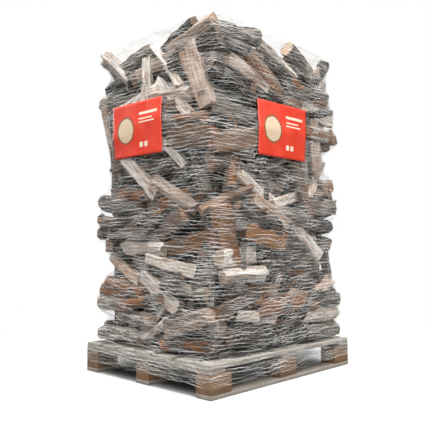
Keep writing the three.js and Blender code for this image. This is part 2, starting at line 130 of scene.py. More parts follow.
# How each look shows on bark and on split wood: brightness and warmth
LOOKS = {
    "white": (1.3, 0.03),
    "pale": (1.0, 0.06),
    "tan": (0.8, 0.36),
    "umber": (0.16, 0.75),
    "brown": (0.4, 0.6),
    "rust": (0.52, 1.0),
    "grey": (0.52, 0.0),
    "dark": (0.08, 0.1),
}

# Painted light and shade: how much brighter or darker the other logs are made by the level that they lie at,
# with a band of painted shade from about 0.8 m to 1.1 m
LEVEL_SHADES = (
    (160, 420, 640, 780, 860, 960, 1060, 1300, 1500, 1700),
    (1.2, 1.02, 0.78, 0.4, 0.33, 0.33, 0.6, 0.9, 1.05, 0.85),
)

# Logs with a set place: side, kind, along, up, turn, wide, thick, look
PLACED = [
    ("front", "bark", -362, 1812, 0.1, 100, 80, "grey"),
    ("front", "bark", -30, 1688, -0.34, 96, 80, "dark"),
    ("front", "ridge", -23, 1742, -0.38, 76, 62, "white"),
    ("front", "round", 230, 1778, -0.42, 94, 90, "pale"),
    ("front", "round", 412, 1778, 0.66, 66, 64, "dark"),
    ("front", "split", -265, 1618, -0.3, 62, 62, "tan"),
    ("front", "bark", -400, 1545, -0.45, 98, 78, "dark"),
    ("front", "split", 440, 1640, -0.8, 66, 60, "pale"),
    ("front", "bark", -90, 1490, -0.3, 104, 80, "dark"),
    ("front", "bark", -330, 1400, -0.1, 104, 78, "grey"),
    ("front", "split", -380, 1252, 0.22, 112, 66, "brown"),
    ("front", "ridge", -400, 1168, 0.36, 84, 62, "umber"),
    ("front", "split", 320, 1325, -1.5, 88, 62, "tan"),
    ("front", "split", -206, 1020, -0.4, 60, 62, "white"),
    ("front", "split", 70, 975, 0.22, 62, 58, "white"),
    ("front", "split", 205, 1040, -1.1, 66, 60, "brown"),
    ("front", "ridge", 375, 1105, 0.75, 74, 66, "tan"),
    ("front", "ridge", -420, 955, 0.45, 74, 64, "brown"),
    ("front", "split", -105, 900, -0.43, 66, 66, "tan"),
    ("front", "split", -440, 765, -1.25, 124, 74, "rust"),
    ("front", "split", -150, 768, -0.2, 104, 72, "rust"),
    ("front", "split", 262, 752, -0.66, 64, 58, "pale"),
    ("front", "round", 430, 850, -0.06, 92, 88, "dark"),
    ("front", "split", -335, 662, 0.05, 94, 70, "white"),
    ("front", "ridge", -300, 574, 0, 92, 70, "pale"),
    ("front", "split", -345, 436, 0.3, 70, 60, "umber"),
    ("front", "split", -195, 345, -0.16, 56, 58, "white"),
    ("front", "ridge", 400, 318, -0.06, 118, 78, "white"),
    ("front", "bark", -260, 258, -0.06, 108, 84, "dark"),
    ("front", "bark", 60, 224, 0.04, 108, 84, "dark"),
    ("front", "round", 400, 212, -0.02, 84, 82, "grey"),
    ("left", "bark", 170, 1812, 0.25, 62, 58, "dark"),
    ("left", "bark", -205, 1757, 0.34, 86, 78, "grey"),
    ("left", "ridge", -372, 1757, -0.7, 96, 76, "grey"),
    ("left", "bark", 316, 1716, 0.3, 110, 84, "dark"),
    ("left", "ridge", 288, 1792, 0.24, 108, 84, "tan"),
    ("left", "bark", -318, 1652, 0.05, 104, 80, "dark"),
    ("left", "round", -318, 1548, -0.05, 88, 84, "grey"),
    ("left", "split", 345, 1575, -1.25, 122, 66, "tan"),
    ("left", "ridge", 111, 1668, -0.9, 56, 58, "white"),
    ("left", "split", 169, 1493, -0.71, 60, 60, "white"),
    ("left", "split", -415, 1420, -1.55, 60, 58, "tan"),
    ("left", "split", 352, 1262, -0.12, 112, 66, "umber"),
    ("left", "split", 150, 1200, -0.8, 52, 56, "white"),
    ("left", "split", -105, 1100, -0.73, 80, 62, "white"),
    ("left", "ridge", 151, 984, -0.51, 86, 70, "tan"),
    ("left", "bark", 285, 1110, 0.2, 98, 78, "dark"),
    ("left", "bark", -320, 955, -0.12, 100, 80, "grey"),
    ("left", "split", 105, 812, 0.42, 92, 66, "umber"),
    ("left", "ridge", -90, 706, -0.06, 88, 68, "pale"),
    ("left", "split", -250, 590, -0.4, 60, 60, "tan"),
    ("left", "split", 125, 622, -0.2, 70, 60, "pale"),
    ("left", "split", 60, 480, -0.52, 84, 62, "pale"),
    ("left", "round", -330, 440, -0.15, 84, 80, "brown"),
    ("left", "split", 280, 335, 0.3, 96, 66, "tan"),
    ("left", "ridge", -20, 256, 0.48, 54, 56, "white"),
    ("left", "bark", -285, 208, -0.03, 84, 80, "pale"),
    ("left", "round", -185, 322, 0.03, 78, 76, "pale"),
    ("left", "round", 240, 214, 0.05, 88, 84, "brown"),
    ("back", "ridge", -300, 1780, 0.3, 100, 80, "tan"),
    ("back", "bark", 100, 1785, -0.22, 104, 82, "dark"),
    ("back", "split", 370, 1765, 0.5, 84, 62, "pale"),
    ("back", "split", -150, 1310, -0.5, 90, 64, "pale"),
    ("back", "split", 240, 1060, 0.4, 76, 62, "tan"),
    ("back", "ridge", -350, 820, -0.6, 84, 66, "rust"),
    ("back", "split", 80, 520, -0.3, 88, 62, "pale"),
    ("right", "bark", -190, 1780, 0.3, 104, 80, "dark"),
    ("right", "split", 230, 1770, -0.35, 90, 66, "pale"),
    ("right", "split", -100, 1260, 0.6, 80, 62, "pale"),
    ("right", "split", 200, 900, -0.5, 90, 66, "brown"),
    ("right", "ridge", -250, 560, 0.3, 84, 64, "pale"),
    ("right", "bark", -290, 222, 0.04, 106, 84, "grey"),
    ("right", "bark", 130, 218, -0.03, 98, 80, "dark"),
    ("back", "bark", -330, 220, 0.03, 104, 84, "dark"),
    ("back", "round", 60, 212, -0.05, 82, 80, "brown"),
]

SLANT = math.sqrt(0.5)
CORNER_HALF = 200
CORNER_SEEN = 440
UPRIGHT = (0, 0, 1)


def flank(along, out, half, depth, up=UPRIGHT, seen=None):
    """One side of the heap: the way along it, the way up it, the way out of it, and its reach."""
    return {"along": along, "up": up, "out": out, "half": half, "depth": depth, "seen": seen or half + CELL}


def corner(along, out):
    return flank(along, out, CORNER_HALF, HEAP_CORNER * SLANT, seen=CORNER_SEEN)


SIDES = {
    "front": flank((1, 0, 0), (0, -1, 0), HEAP_X, HEAP_Y),
    "left": flank((0, -1, 0), (-1, 0, 0), HEAP_Y, HEAP_X),
    "front_left": corner((SLANT, -SLANT, 0), (-SLANT, -SLANT, 0)),
    "back": flank((-1, 0, 0), (0, 1, 0), HEAP_X, HEAP_Y),
    "right": flank((0, 1, 0), (1, 0, 0), HEAP_Y, HEAP_X),
    "front_right": corner((SLANT, SLANT, 0), (SLANT, -SLANT, 0)),
    "top": flank((1, 0, 0), UPRIGHT, HEAP_X, HEAP_TOP, up=(0, 1, 0)),
    "back_left": corner((-SLANT, -SLANT, 0), (-SLANT, SLANT, 0)),
    "back_right": corner((-SLANT, SLANT, 0), (SLANT, SLANT, 0)),
}


def random_numbers(seed):
    state = seed
    while True:
        state = (state * 48271) % 2147483647
        yield state / 2147483647


def between(limits, share):
    return limits[0] + (limits[1] - limits[0]) * share


def hundredth(x):
    return math.floor(x * 100 + 0.5) / 100


def dot(a, b):
    return a[0] * b[0] + a[1] * b[1] + a[2] * b[2]


def steps(count):
    return [(i + 0.5) / count - 0.5 for i in range(count)]


def span(kind, p):
    """Lowest and highest point of a section at p across it."""
    points = SECTIONS[kind]
    low, high = 1, -1
    for i, (p0, q0) in enumerate(points):
        p1, q1 = points[(i + 1) % len(points)]
        if (p0 - p) * (p1 - p) > 0 or p0 == p1:
            continue
        q = q0 + ((q1 - q0) * (p - p0)) / (p1 - p0)
        low, high = min(low, q), max(high, q)
    return low, high


# Places across a section, with each kind's limits there
ACROSS = {
    count: [(across, {kind: span(kind, across) for kind in SECTIONS}) for across in steps(count)]
    for count in (5, 6)
}


def on_side(log, s, a):
    """Where a point at s along a log and a across it lies on the log's side."""
    cos, sin = math.cos(log["turn"]), math.sin(log["turn"])
    return log["u"] + s * cos - a * sin, log["v"] + s * sin + a * cos


def point_of(log, s, a, t):
    """The point of a log at s along it, a across it and t outwards, in the world."""
    side = SIDES[log["side"]]
    along, up, out = side["along"], side["up"], side["out"]
    u, v = on_side(log, s, a)
    w = log["w"] + s * log["lean"] + t
    return [u * along[i] + v * up[i] + w * out[i] for i in range(3)]


class Surface:
    """The heap as one side sees it: how far out it reaches in each cell, and which log is there."""

    def __init__(self, side):
        is_top = side["out"] == UPRIGHT
        self.along, self.up, self.out = side["along"], side["up"], side["out"]
        self.seen, self.depth = side["seen"], side["depth"]
        self.low = -HEAP_Y - CELL if is_top else DECK_Z
        self.columns = math.ceil(2 * self.seen / CELL)
        self.rows = math.ceil(((HEAP_Y + CELL if is_top else HEAP_TOP) - self.low) / CELL)
        self.reach = [-math.inf] * (self.columns * self.rows)
        self.owner = [None] * (self.columns * self.rows)

    def cell(self, u, v):
        column = math.floor((u + self.seen) / CELL)
        row = math.floor((v - self.low) / CELL)
        inside = 0 <= column < self.columns and 0 <= row < self.rows
        return row * self.columns + column if inside else -1

    def mark(self, point, log):
        cell = self.cell(dot(point, self.along), dot(point, self.up))
        out = dot(point, self.out)
        if cell >= 0 and out > self.reach[cell]:
            self.reach[cell] = out
            self.owner[cell] = log


def rest(surfaces, log):
    """Lays a log on its side with the lean that lets it in deepest, and gives how much hollow it fills."""
    surface = surfaces[log["side"]]
    floor = surface.depth - DEEPEST
    wide, thick, long = log["wide"], log["thick"], log["long"]
    touched = []
    for along in steps(9):
        s = along * long
        for across, spans in ACROSS[5]:
            cell = surface.cell(*on_side(log, s, across * wide))
            low, high = spans[log["kind"]]
            reach = -math.inf if cell < 0 else surface.reach[cell]
            touched.append((s, reach, low * thick, high * thick))
    best = math.inf
    for lean in LEANS:
        need = max(reach - low - s * lean for s, reach, low, _ in touched)
        if need < best - 1:
            best = need
            log["lean"] = lean
    if best < floor:
        return 0
    log["w"] = hundredth(best - BEDDING)
    filled = 0
    for s, reach, _, high in touched:
        filled += max(0, log["w"] + high + s * log["lean"] - max(reach, floor))
    return filled


def drawn_in(level):
    return sum(deep * max(0, 1 - ((level - middle) / tells) ** 2) for middle, tells, deep in WAISTS)


def excess(log, room):
    """How far a log reaches past the heap's outline: sideways, and past its top or bottom."""
    side = SIDES[log["side"]]
    placed = log.get("placed", False)
    top = HEAP_TOP if placed else HEAP_TOP - TIP_ROOM
    sideways = upright = -math.inf
    for end in (-0.5, 0.5):
        for p, q in SECTIONS[log["kind"]]:
            x, y, z = point_of(log, end * log["long"], p * log["wide"], q * log["thick"])
            waist = 0 if placed else drawn_in(z)
            around = max(abs(x) - HEAP_X, abs(y) - HEAP_Y, abs(x) + abs(y) - HEAP_CORNER)
            own = dot((x, y, z), side["out"]) - side["depth"] + room
            sideways = max(sideways, around + waist, own)
            upright = max(upright, z - top, DECK_Z + 1 - z)
    return sideways, upright


def hides_placed(surfaces, log):
    surface = surfaces[log["side"]]
    hidden = 0
    for along in steps(9):
        for across in steps(3):
            cell = surface.cell(*on_side(log, along * log["long"], across * log["wide"]))
            if cell >= 0 and surface.owner[cell] and surface.owner[cell].get("placed"):
                hidden += 1
    return hidden > 2


def mark_log(surfaces, log):
    for along in steps(17):
        for across, spans in ACROSS[6]:
            limits = spans[log["kind"]]
            for share in (0, 0.33, 0.67, 1):
                t = between(limits, share) * log["thick"]
                point = point_of(log, along * log["long"], across * log["wide"], t)
                for surface in surfaces.values():
                    surface.mark(point, log)


def stations(limit, step, start):
    value = start
    while value <= limit:
        yield value
        value += step


def mark_heart(surfaces):
    step = CELL * 0.7
    for x in stations(HEART_X, step, -HEART_X):
        for y in stations(HEART_Y, step, -HEART_Y):
            rim = HEART_X - abs(x) < step or HEART_Y - abs(y) < step
            for z in stations(HEART_TOP, step, DECK_Z):
                if rim or HEART_TOP - z < step:
                    for surface in surfaces.values():
                        surface.mark((x, y, z), None)


def random_log(draw, name):
    side = SIDES[name]
    kind = KINDS[math.floor(next(draw) * len(KINDS))]
    steep = next(draw)
    turn = next(draw) - 0.5
    size = next(draw)
    shape = next(draw)
    wide = between(ROUND_LOG if kind == "round" else LOG_WIDE, size)
    depth = HEAP_Y - END_ROOM
    levels = (-depth, depth) if name == "top" else (DECK_Z + LEVEL_ROOM, HEAP_TOP - LEVEL_ROOM)
    level = between(levels, next(draw))
    slope = turn * (LEVEL_TURN if steep < LEVEL else SLOPED_TURN)
    return {
        "side": name,
        "kind": kind,
        "u": hundredth((2 * next(draw) - 1) * (side["half"] - END_ROOM)),
        "v": hundredth(level),
        "turn": hundredth(math.pi / 2 + slope if steep < STANDING else slope),
        "long": hundredth(LOG_LONG + LENGTH_SPREAD * (next(draw) - 0.5)),
        "wide": hundredth(wide),
        "thick": hundredth(wide if kind == "round" else between(LOG_THICK, shape)),
    }


def placed_log(surfaces, place):
    side, kind, u, v, turn, wide, thick, look = place
    log = {"side": side, "kind": kind, "u": u, "v": v, "turn": turn, "wide": wide, "thick": thick}
    log.update(long=LOG_LONG, w=math.inf, placed=True, look=look)
    for _ in range(SHIFT_TRIES):
        rest(surfaces, log)
        log["w"] = min(log["w"], SIDES[side]["depth"] - thick / 2 - (abs(log["lean"]) * LOG_LONG) / 2)
        sideways, upright = excess(log, 0)
        if sideways > 0:
            log["u"] -= math.copysign(SHIFT, log["u"])
        if upright > 0:
            log["v"] -= math.copysign(SHIFT, log["v"] - HEAP_TOP / 2)
        if sideways <= 0 and upright <= 0:
            break
    return log


def heap_of_logs():
    """Lays a bed of logs on every side, then those with a set place, then what still finds room."""
    surfaces = {name: Surface(side) for name, side in SIDES.items()}
    names = list(SIDES)
    draw = random_numbers(SEED)
    logs = []

    def keep(log):
        mark_log(surfaces, log)
        logs.append(log)

    def fill(tries, room):
        for n in range(tries):
            chosen, most = None, 0
            for _ in range(CHOICES):
                log = random_log(draw, names[n % len(names)])
                filled = rest(surfaces, log)
                if filled <= most:
                    continue
                if max(excess(log, room)) > 0 or hides_placed(surfaces, log):
                    continue
                chosen, most = log, filled
            if chosen:
                keep(chosen)

    mark_heart(surfaces)
    fill(BED_TRIES, OUTER_ROOM)
    for place in PLACED:
        keep(placed_log(surfaces, place))
    fill(LAST_TRIES, 0)
    return logs, surfaces


def sink(surfaces, log):
    """Lays a log into a hollow, its ends behind the logs beside it, and gives how much hollow it fills."""
    surface = surfaces[log["side"]]
    floor = surface.depth - DEEPEST
    touched = []
    for along in steps(9):
        for across, spans in ACROSS[5]:
            cell = surface.cell(*on_side(log, along * log["long"], across * log["wide"]))
            low, high = spans[log["kind"]]
            reach, owner = (-math.inf, None) if cell < 0 else (surface.reach[cell], surface.owner[cell])
            touched.append((max(reach, floor), low * log["thick"], high * log["thick"], owner))
    needs = sorted((reach - low for reach, low, _, _ in touched), reverse=True)
    log["w"] = min(needs[len(needs) // 3] - HOLLOW_BEDDING, surface.depth - log["thick"] / 2)
    filled = 0
    for reach, _, high, owner in touched:
        gain = log["w"] + high - reach
        if gain > 0:
            filled += -HIDING if owner and owner.get("placed") else gain
    return filled


def hollow_logs(surfaces):
    """More logs in the hollows that the others leave, seen between them."""
    draw = random_numbers(SEED + 1)
    names = list(SIDES)
    found = []
    for n in range(HOLLOW_TRIES):
        chosen, most = None, LEAST_FILLED
        for _ in range(CHOICES):
            log = random_log(draw, names[n % len(names)])
            log.update(lean=0, wide=log["wide"] * HOLLOW_WIDE, thick=log["thick"] * HOLLOW_THICK)
            filled = sink(surfaces, log)
            if filled > most and max(excess(log, 0)) <= 0:
                chosen, most = log, filled
        if chosen:
            mark_log(surfaces, chosen)
            found.append(chosen)
    return found


# Materials


def add(tree, kind, feeds=None, **settings):
    """A node with its settings, and its inputs set to values or fed by other nodes' outputs."""
    made = tree.nodes.new(kind)
    for name, value in settings.items():
        setattr(made, name, value)
    for socket, source in (feeds or {}).items():
        if isinstance(source, bpy.types.NodeSocket):
            tree.links.new(source, made.inputs[socket])
        else:
            made.inputs[socket].default_value = source
    return made


def mixed(tree, share, first, second):
    """Two colours mixed."""
    return add(tree, "ShaderNodeMix", {0: share, 6: first, 7: second}, data_type="RGBA").outputs[2]


def maths(tree, how, *values):
    return add(tree, "ShaderNodeMath", dict(enumerate(values)), operation=how).outputs[0]


def vectors(tree, how, *values):
    return add(tree, "ShaderNodeVectorMath", dict(enumerate(values)), operation=how).outputs


def stretched(tree, coordinates, scale):
    return vectors(tree, "MULTIPLY", coordinates, scale)[0]


def noisy(tree, coordinates, scale, detail=4.0, rough=0.55, bend=0.0):
    feeds = {"Vector": coordinates, "Scale": scale, "Detail": detail, "Roughness": rough, "Distortion": bend}
    return add(tree, "ShaderNodeTexNoise", feeds).outputs["Fac"]


def ramped(tree, value, low, high):
    """The value stretched so that low becomes 0 and high becomes 1."""
    feeds = {"Value": value, "From Min": low, "From Max": high}
    return add(tree, "ShaderNodeMapRange", feeds, interpolation_type="SMOOTHSTEP").outputs["Result"]


def colour(red, green, blue):
    """A colour given as it shows on a screen, 0 to 255."""
    parts = (c / 255 for c in (red, green, blue))
    return (*(c / 12.92 if c <= 0.04045 else ((c + 0.055) / 1.055) ** 2.4 for c in parts), 1.0)


VECTOR, NUMBER = "NodeSocketVector", "NodeSocketFloat"


def effect(name, inputs, outputs, build):
    """A shader node group that several materials share."""
    group = bpy.data.node_groups.new(name, "ShaderNodeTree")
    for label, value in inputs.items():
        kind = VECTOR if value is None else NUMBER
        socket = group.interface.new_socket(name=label, in_out="INPUT", socket_type=kind)
        if value is not None:
            socket.default_value = value
    for label in outputs:
        group.interface.new_socket(name=label, in_out="OUTPUT", socket_type=NUMBER)
    entry, leave = group.nodes.new("NodeGroupInput"), group.nodes.new("NodeGroupOutput")
    for label, source in build(group, entry.outputs).items():
        group.links.new(source, leave.inputs[label])
    return group


def build_fibres(group, given):
    """Fine streaks along the third coordinate, and broader ones."""
    shrink = add(group, "ShaderNodeCombineXYZ", {0: 1.0, 1: 1.0, 2: given["Stretch"]}).outputs[0]
    along = stretched(group, given["Coordinates"], shrink)
    fine = noisy(group, along, given["Fineness"], 5.0, 0.65, 0.4)
    broad = noisy(group, along, maths(group, "MULTIPLY", given["Fineness"], 0.18), 2.0, 0.5, 0.2)
    return {"Fine": fine, "Broad": broad}


def build_stain(group, given):
    """Soft patches, from 0 to 1, over the given share of the surface."""
    patches = noisy(group, given["Coordinates"], given["Scale"], 5.0, 0.6)
    low = maths(group, "SUBTRACT", 0.68, maths(group, "MULTIPLY", given["Share"], 0.36))
    return {"Stain": ramped(group, patches, low, maths(group, "ADD", low, 0.12))}


FIBRE_INPUTS = {"Coordinates": None, "Fineness": 300.0, "Stretch": 0.06}
FIBRES = effect("fibres", FIBRE_INPUTS, ["Fine", "Broad"], build_fibres)
STAIN = effect("stain", {"Coordinates": None, "Scale": 8.0, "Share": 0.4}, ["Stain"], build_stain)


def fibres(tree, coordinates, fineness, stretch):
    feeds = {"Coordinates": coordinates, "Fineness": fineness, "Stretch": stretch}
    return add(tree, "ShaderNodeGroup", feeds, node_tree=FIBRES).outputs


def stain(tree, coordinates, scale, share):
    feeds = {"Coordinates": coordinates, "Scale": scale, "Share": share}
    return add(tree, "ShaderNodeGroup", feeds, node_tree=STAIN).outputs["Stain"]


def finish(name, roughness):
    """A new material, its node tree and its Principled shader."""
    made = bpy.data.materials.new(name)
    made.use_nodes = True
    tree = made.node_tree
    shader = next(node for node in tree.nodes if node.type == "BSDF_PRINCIPLED")
    shader.inputs["Roughness"].default_value = roughness
    return made, tree, shader


def dress(tree, shader, base, height, deep):
    """Feeds a shader's colour and bump."""
    tree.links.new(base, shader.inputs["Base Color"])
    bump = add(tree, "ShaderNodeBump", {"Strength": 1.0, "Distance": deep, "Height": height})
    tree.links.new(bump.outputs["Normal"], shader.inputs["Normal"])


def log_attributes(tree):
    """A log's own coordinates, and its brightness, warmth and dirt."""
    place = add(tree, "ShaderNodeAttribute", attribute_name="grain").outputs["Vector"]
    tone = add(tree, "ShaderNodeAttribute", attribute_name="tone").outputs["Vector"]
    return place, *add(tree, "ShaderNodeSeparateXYZ", {0: tone}).outputs


def bark_finish():
    """Fissured bark: dark cracks along the log, grey ridges, flakes of brown inner bark, and lichen."""
    made, tree, shader = finish("bark", 0.9)
    place, bright, warm, lichen = log_attributes(tree)
    along = stretched(tree, place, (1.0, 1.0, 0.13))
    feeds = {"Vector": along, "Scale": 48.0, "Randomness": 1.0}
    cracks = add(tree, "ShaderNodeTexVoronoi", feeds, feature="DISTANCE_TO_EDGE").outputs["Distance"]
    plate = ramped(tree, cracks, 0.0, 0.34)
    crumbs = noisy(tree, stretched(tree, place, (1.0, 1.0, 0.35)), 150.0, 4.0, 0.6)
    broad = noisy(tree, stretched(tree, place, (1.0, 1.0, 0.3)), 16.0, 4.0, 0.6, 0.6)
    patches = ramped(tree, broad, 0.36, 0.64)
    dark = mixed(tree, bright, colour(10, 7, 4), colour(56, 46, 37))
    light = mixed(tree, bright, colour(48, 38, 29), colour(200, 190, 177))
    shade = maths(tree, "MULTIPLY_ADD", plate, 0.45, maths(tree, "MULTIPLY", patches, 0.55))
    grit = maths(tree, "MULTIPLY", maths(tree, "SUBTRACT", crumbs, 0.5), 0.6)
    shade = add(tree, "ShaderNodeClamp", {0: maths(tree, "ADD", shade, grit)}).outputs[0]
    base = mixed(tree, shade, dark, light)
    flakes = stain(tree, stretched(tree, place, (1.0, 1.0, 0.4)), 22.0, warm)
    inner = mixed(tree, crumbs, colour(70, 36, 10), colour(188, 120, 52))
    base = mixed(tree, maths(tree, "MULTIPLY", flakes, 0.75), base, inner)
    spots = stain(tree, place, 22.0, maths(tree, "MULTIPLY", lichen, 0.7))
    base = mixed(tree, maths(tree, "MULTIPLY", spots, 0.5), base, colour(180, 177, 168))
    height = maths(tree, "ADD", plate, maths(tree, "MULTIPLY", crumbs, 0.5))
    dress(tree, shader, base, height, 0.006)
    return made


def split_finish():
    """Split wood: long splintered streaks, browner bands and dirt."""
    made, tree, shader = finish("split wood", 0.72)
    place, bright, warm, grime = log_attributes(tree)
    lines = fibres(tree, place, 210.0, 0.045)
    fade = ramped(tree, noisy(tree, stretched(tree, place, (1.0, 1.0, 0.5)), 9.0, 3.0, 0.55), 0.32, 0.68)
    bright = maths(tree, "MULTIPLY", bright, maths(tree, "MULTIPLY_ADD", fade, 0.42, 0.66))
    pale = mixed(tree, bright, colour(50, 41, 34), colour(252, 246, 238))
    rich = mixed(tree, bright, colour(50, 25, 5), colour(206, 132, 50))
    plain = mixed(tree, warm, pale, rich)
    brown = mixed(tree, bright, colour(24, 15, 8), colour(146, 112, 80))
    base = mixed(tree, ramped(tree, lines["Fine"], 0.39, 0.55), brown, plain)
    bands = ramped(tree, lines["Broad"], 0.5, 0.6)
    tan = maths(tree, "MULTIPLY", bands, maths(tree, "MULTIPLY_ADD", warm, 0.5, 0.2))
    base = mixed(tree, tan, base, mixed(tree, bright, colour(80, 44, 18), colour(190, 132, 78)))
    knots = stain(tree, stretched(tree, place, (1.0, 1.0, 0.25)), 21.0, 0.25)
    base = mixed(tree, maths(tree, "MULTIPLY", knots, 0.5), base, colour(112, 76, 44))
    spots = stain(tree, stretched(tree, place, (1.0, 1.0, 0.3)), 13.0, grime)
    base = mixed(tree, maths(tree, "MULTIPLY", spots, 0.7), base, colour(82, 74, 66))
    height = maths(tree, "ADD", lines["Fine"], maths(tree, "MULTIPLY", lines["Broad"], 1.6))
    dress(tree, shader, base, height, 0.006)
    return made


def end_finish():
    made, tree, shader = finish("end grain", 0.85)
    place, bright, warm, grime = log_attributes(tree)
    flat = stretched(tree, place, (1.0, 1.0, 0.02))
    radius = vectors(tree, "LENGTH", stretched(tree, place, (1.0, 1.0, 0.0)))["Value"]
    wander = maths(tree, "MULTIPLY", noisy(tree, flat, 30.0, 3.0, 0.5), 0.008)
    wave = maths(tree, "SINE", maths(tree, "MULTIPLY", maths(tree, "ADD", radius, wander), 1900.0))
    rings = maths(tree, "MULTIPLY_ADD", wave, 0.5, 0.5)
    pale = mixed(tree, bright, colour(74, 60, 48), colour(190, 170, 148))
    plain = mixed(tree, maths(tree, "MULTIPLY", warm, 0.7), pale, colour(168, 104, 62))
    base = mixed(tree, maths(tree, "MULTIPLY", rings, 0.35), plain, colour(120, 84, 58))
    fine = noisy(tree, flat, 420.0, 3.0, 0.7)
    base = mixed(tree, maths(tree, "MULTIPLY", fine, 0.35), base, colour(96, 76, 62))
    spots = stain(tree, place, 26.0, grime)
    base = mixed(tree, maths(tree, "MULTIPLY", spots, 0.5), base, colour(84, 74, 66))
    height = maths(tree, "ADD", fine, maths(tree, "MULTIPLY", rings, 0.3))
    dress(tree, shader, base, height, 0.0015)
    return made


def board_finish(name, along, pale, dark, dirt):
    """Sawn wood with its grain along X, 0, or along Y, 1."""
    made, tree, shader = finish(name, 0.8)
    place = add(tree, "ShaderNodeTexCoord").outputs["Object"]
    parts = add(tree, "ShaderNodeSeparateXYZ", {0: place}).outputs
    order = {0: parts[1 - along], 1: parts[2], 2: parts[along]}
    turned = add(tree, "ShaderNodeCombineXYZ", order).outputs[0]
    lines = fibres(tree, turned, 210.0, 0.035)
    streak = ramped(tree, lines["Fine"], 0.28, 0.66)
    base = mixed(tree, streak, mixed(tree, 0.5, pale, dark), pale)
    broad = ramped(tree, lines["Broad"], 0.42, 0.7)
    base = mixed(tree, maths(tree, "MULTIPLY", broad, 0.4), base, dark)
    spots = stain(tree, place, 9.0, dirt)
    base = mixed(tree, maths(tree, "MULTIPLY", spots, 0.45), base, colour(118, 106, 92))
    dress(tree, shader, base, lines["Fine"], 0.0012)
    return made


def yarn_finish():
    made, tree, shader = finish("net yarn", 0.45)
    place = add(tree, "ShaderNodeTexCoord").outputs["Object"]
    dust = ramped(tree, noisy(tree, place, 7.0, 4.0, 0.6), 0.35, 0.75)
    stitches = noisy(tree, place, 420.0, 2.0, 0.6)
    base = mixed(tree, dust, colour(246, 246, 244), colour(222, 220, 214))
    base = mixed(tree, maths(tree, "MULTIPLY", stitches, 0.25), base, colour(196, 196, 194))
    dress(tree, shader, base, stitches, 0.0004)
    return made


def nail_finish():
    made, tree, shader = finish("nail head", 0.5)
    place = add(tree, "ShaderNodeTexCoord").outputs["Object"]
    base = mixed(tree, stain(tree, place, 160.0, 0.6), colour(120, 118, 116), colour(96, 66, 48))
    dress(tree, shader, base, noisy(tree, place, 500.0), 0.0003)
    shader.inputs["Metallic"].default_value = 0.8
    return made


# Printed bars on a label, in metres from its lower left corner: left, right, low, high
LABEL_BARS = [
    (0.235, 0.385, 0.222, 0.236),
    (0.235, 0.345, 0.196, 0.203),
    (0.235, 0.365, 0.178, 0.185),
    (0.235, 0.262, 0.048, 0.075),
    (0.275, 0.302, 0.048, 0.075),
]
LABEL_WIDE = 0.42
LABEL_TALL = 0.297


def label_finish():
    """Red film, printed with a log's end and a few pale bars, by the sheet's own map."""
    made, tree, shader = finish("label film", 0.35)
    uv = add(tree, "ShaderNodeUVMap", uv_map="sheet").outputs["UV"]
    place = stretched(tree, uv, (LABEL_WIDE, LABEL_TALL, 1.0))
    parts = add(tree, "ShaderNodeSeparateXYZ", {0: place}).outputs
    radius = vectors(tree, "LENGTH", vectors(tree, "SUBTRACT", place, (0.118, 0.15, 0.0))[0])["Value"]
    wander = maths(tree, "MULTIPLY", noisy(tree, place, 24.0, 2.0, 0.5), 0.012)
    uneven = maths(tree, "ADD", radius, wander)
    wave = maths(tree, "SINE", maths(tree, "MULTIPLY", uneven, 720.0))
    cream, umber = colour(240, 224, 198), colour(138, 92, 58)
    faded = ramped(tree, noisy(tree, place, 9.0, 3.0, 0.5), 0.3, 0.8)
    red = mixed(tree, faded, colour(220, 58, 38), colour(234, 80, 58))
    disc = mixed(tree, maths(tree, "MULTIPLY_ADD", wave, 0.5, 0.5), cream, colour(196, 160, 124))
    disc = mixed(tree, ramped(tree, uneven, 0.0725, 0.0735), disc, umber)
    base = mixed(tree, ramped(tree, uneven, 0.0818, 0.0826), disc, red)
    for left, right, low, high in LABEL_BARS:
        sides = (parts[0], left, parts[0], right), (parts[1], low, parts[1], high)
        inside = [
            maths(tree, "MULTIPLY", maths(tree, "GREATER_THAN", a, b), maths(tree, "LESS_THAN", c, d))
            for a, b, c, d in sides
        ]
        base = mixed(tree, maths(tree, "MULTIPLY", *inside), base, cream)
    crease = noisy(tree, stretched(tree, place, (1.0, 0.12, 1.0)), 20.0, 3.0, 0.55)
    dress(tree, shader, base, crease, 0.004)
    shader.inputs["Coat Weight"].default_value = 0.25
    shader.inputs["Coat Roughness"].default_value = 0.3
    return made


LOG_FINISHES = [bark_finish(), split_finish(), end_finish()]
PINE, PINE_DARK = colour(161, 154, 145), colour(96, 86, 74)
NAIL = nail_finish()
LONG_BOARD = board_finish("board sawn lengthwise", 0, PINE, PINE_DARK, 0.3)
CROSS_BOARD = board_finish("board sawn crosswise", 1, colour(150, 141, 130), PINE_DARK, 0.5)
BLOCK_WOOD = board_finish("pallet block", 0, colour(142, 108, 76), colour(72, 50, 32), 0.5)
YARN = yarn_finish()
LABEL_FILM = label_finish()


# Pieces


def shown(name, mesh, materials, replaced):
    """A mesh as a piece that rides on the pallet and stands for CAD nodes."""
    for material in materials:
        mesh.materials.append(material)
    made = bpy.data.objects.new(name, mesh)
    bpy.context.scene.collection.objects.link(made)
    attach(made, "root")
    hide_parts(*replaced)
    return made


def piece(name, bm, materials, replaced):
    mesh = bpy.data.meshes.new(name)
    bm.to_mesh(mesh)
    bm.free()
    return shown(name, mesh, materials, replaced)


# Shapes of the logs

LOG_FACETS = 24
LOG_CUTS = 12
BARK_SWELL = 0.1
SLIM = 0.95
SHARP = 0.62
PER_PIECE = 8
# How far a log's surface strays, in metres: broadly, finely, and at its ends
WANDER = 0.011
ROUGH = 0.006
TORN = 0.012


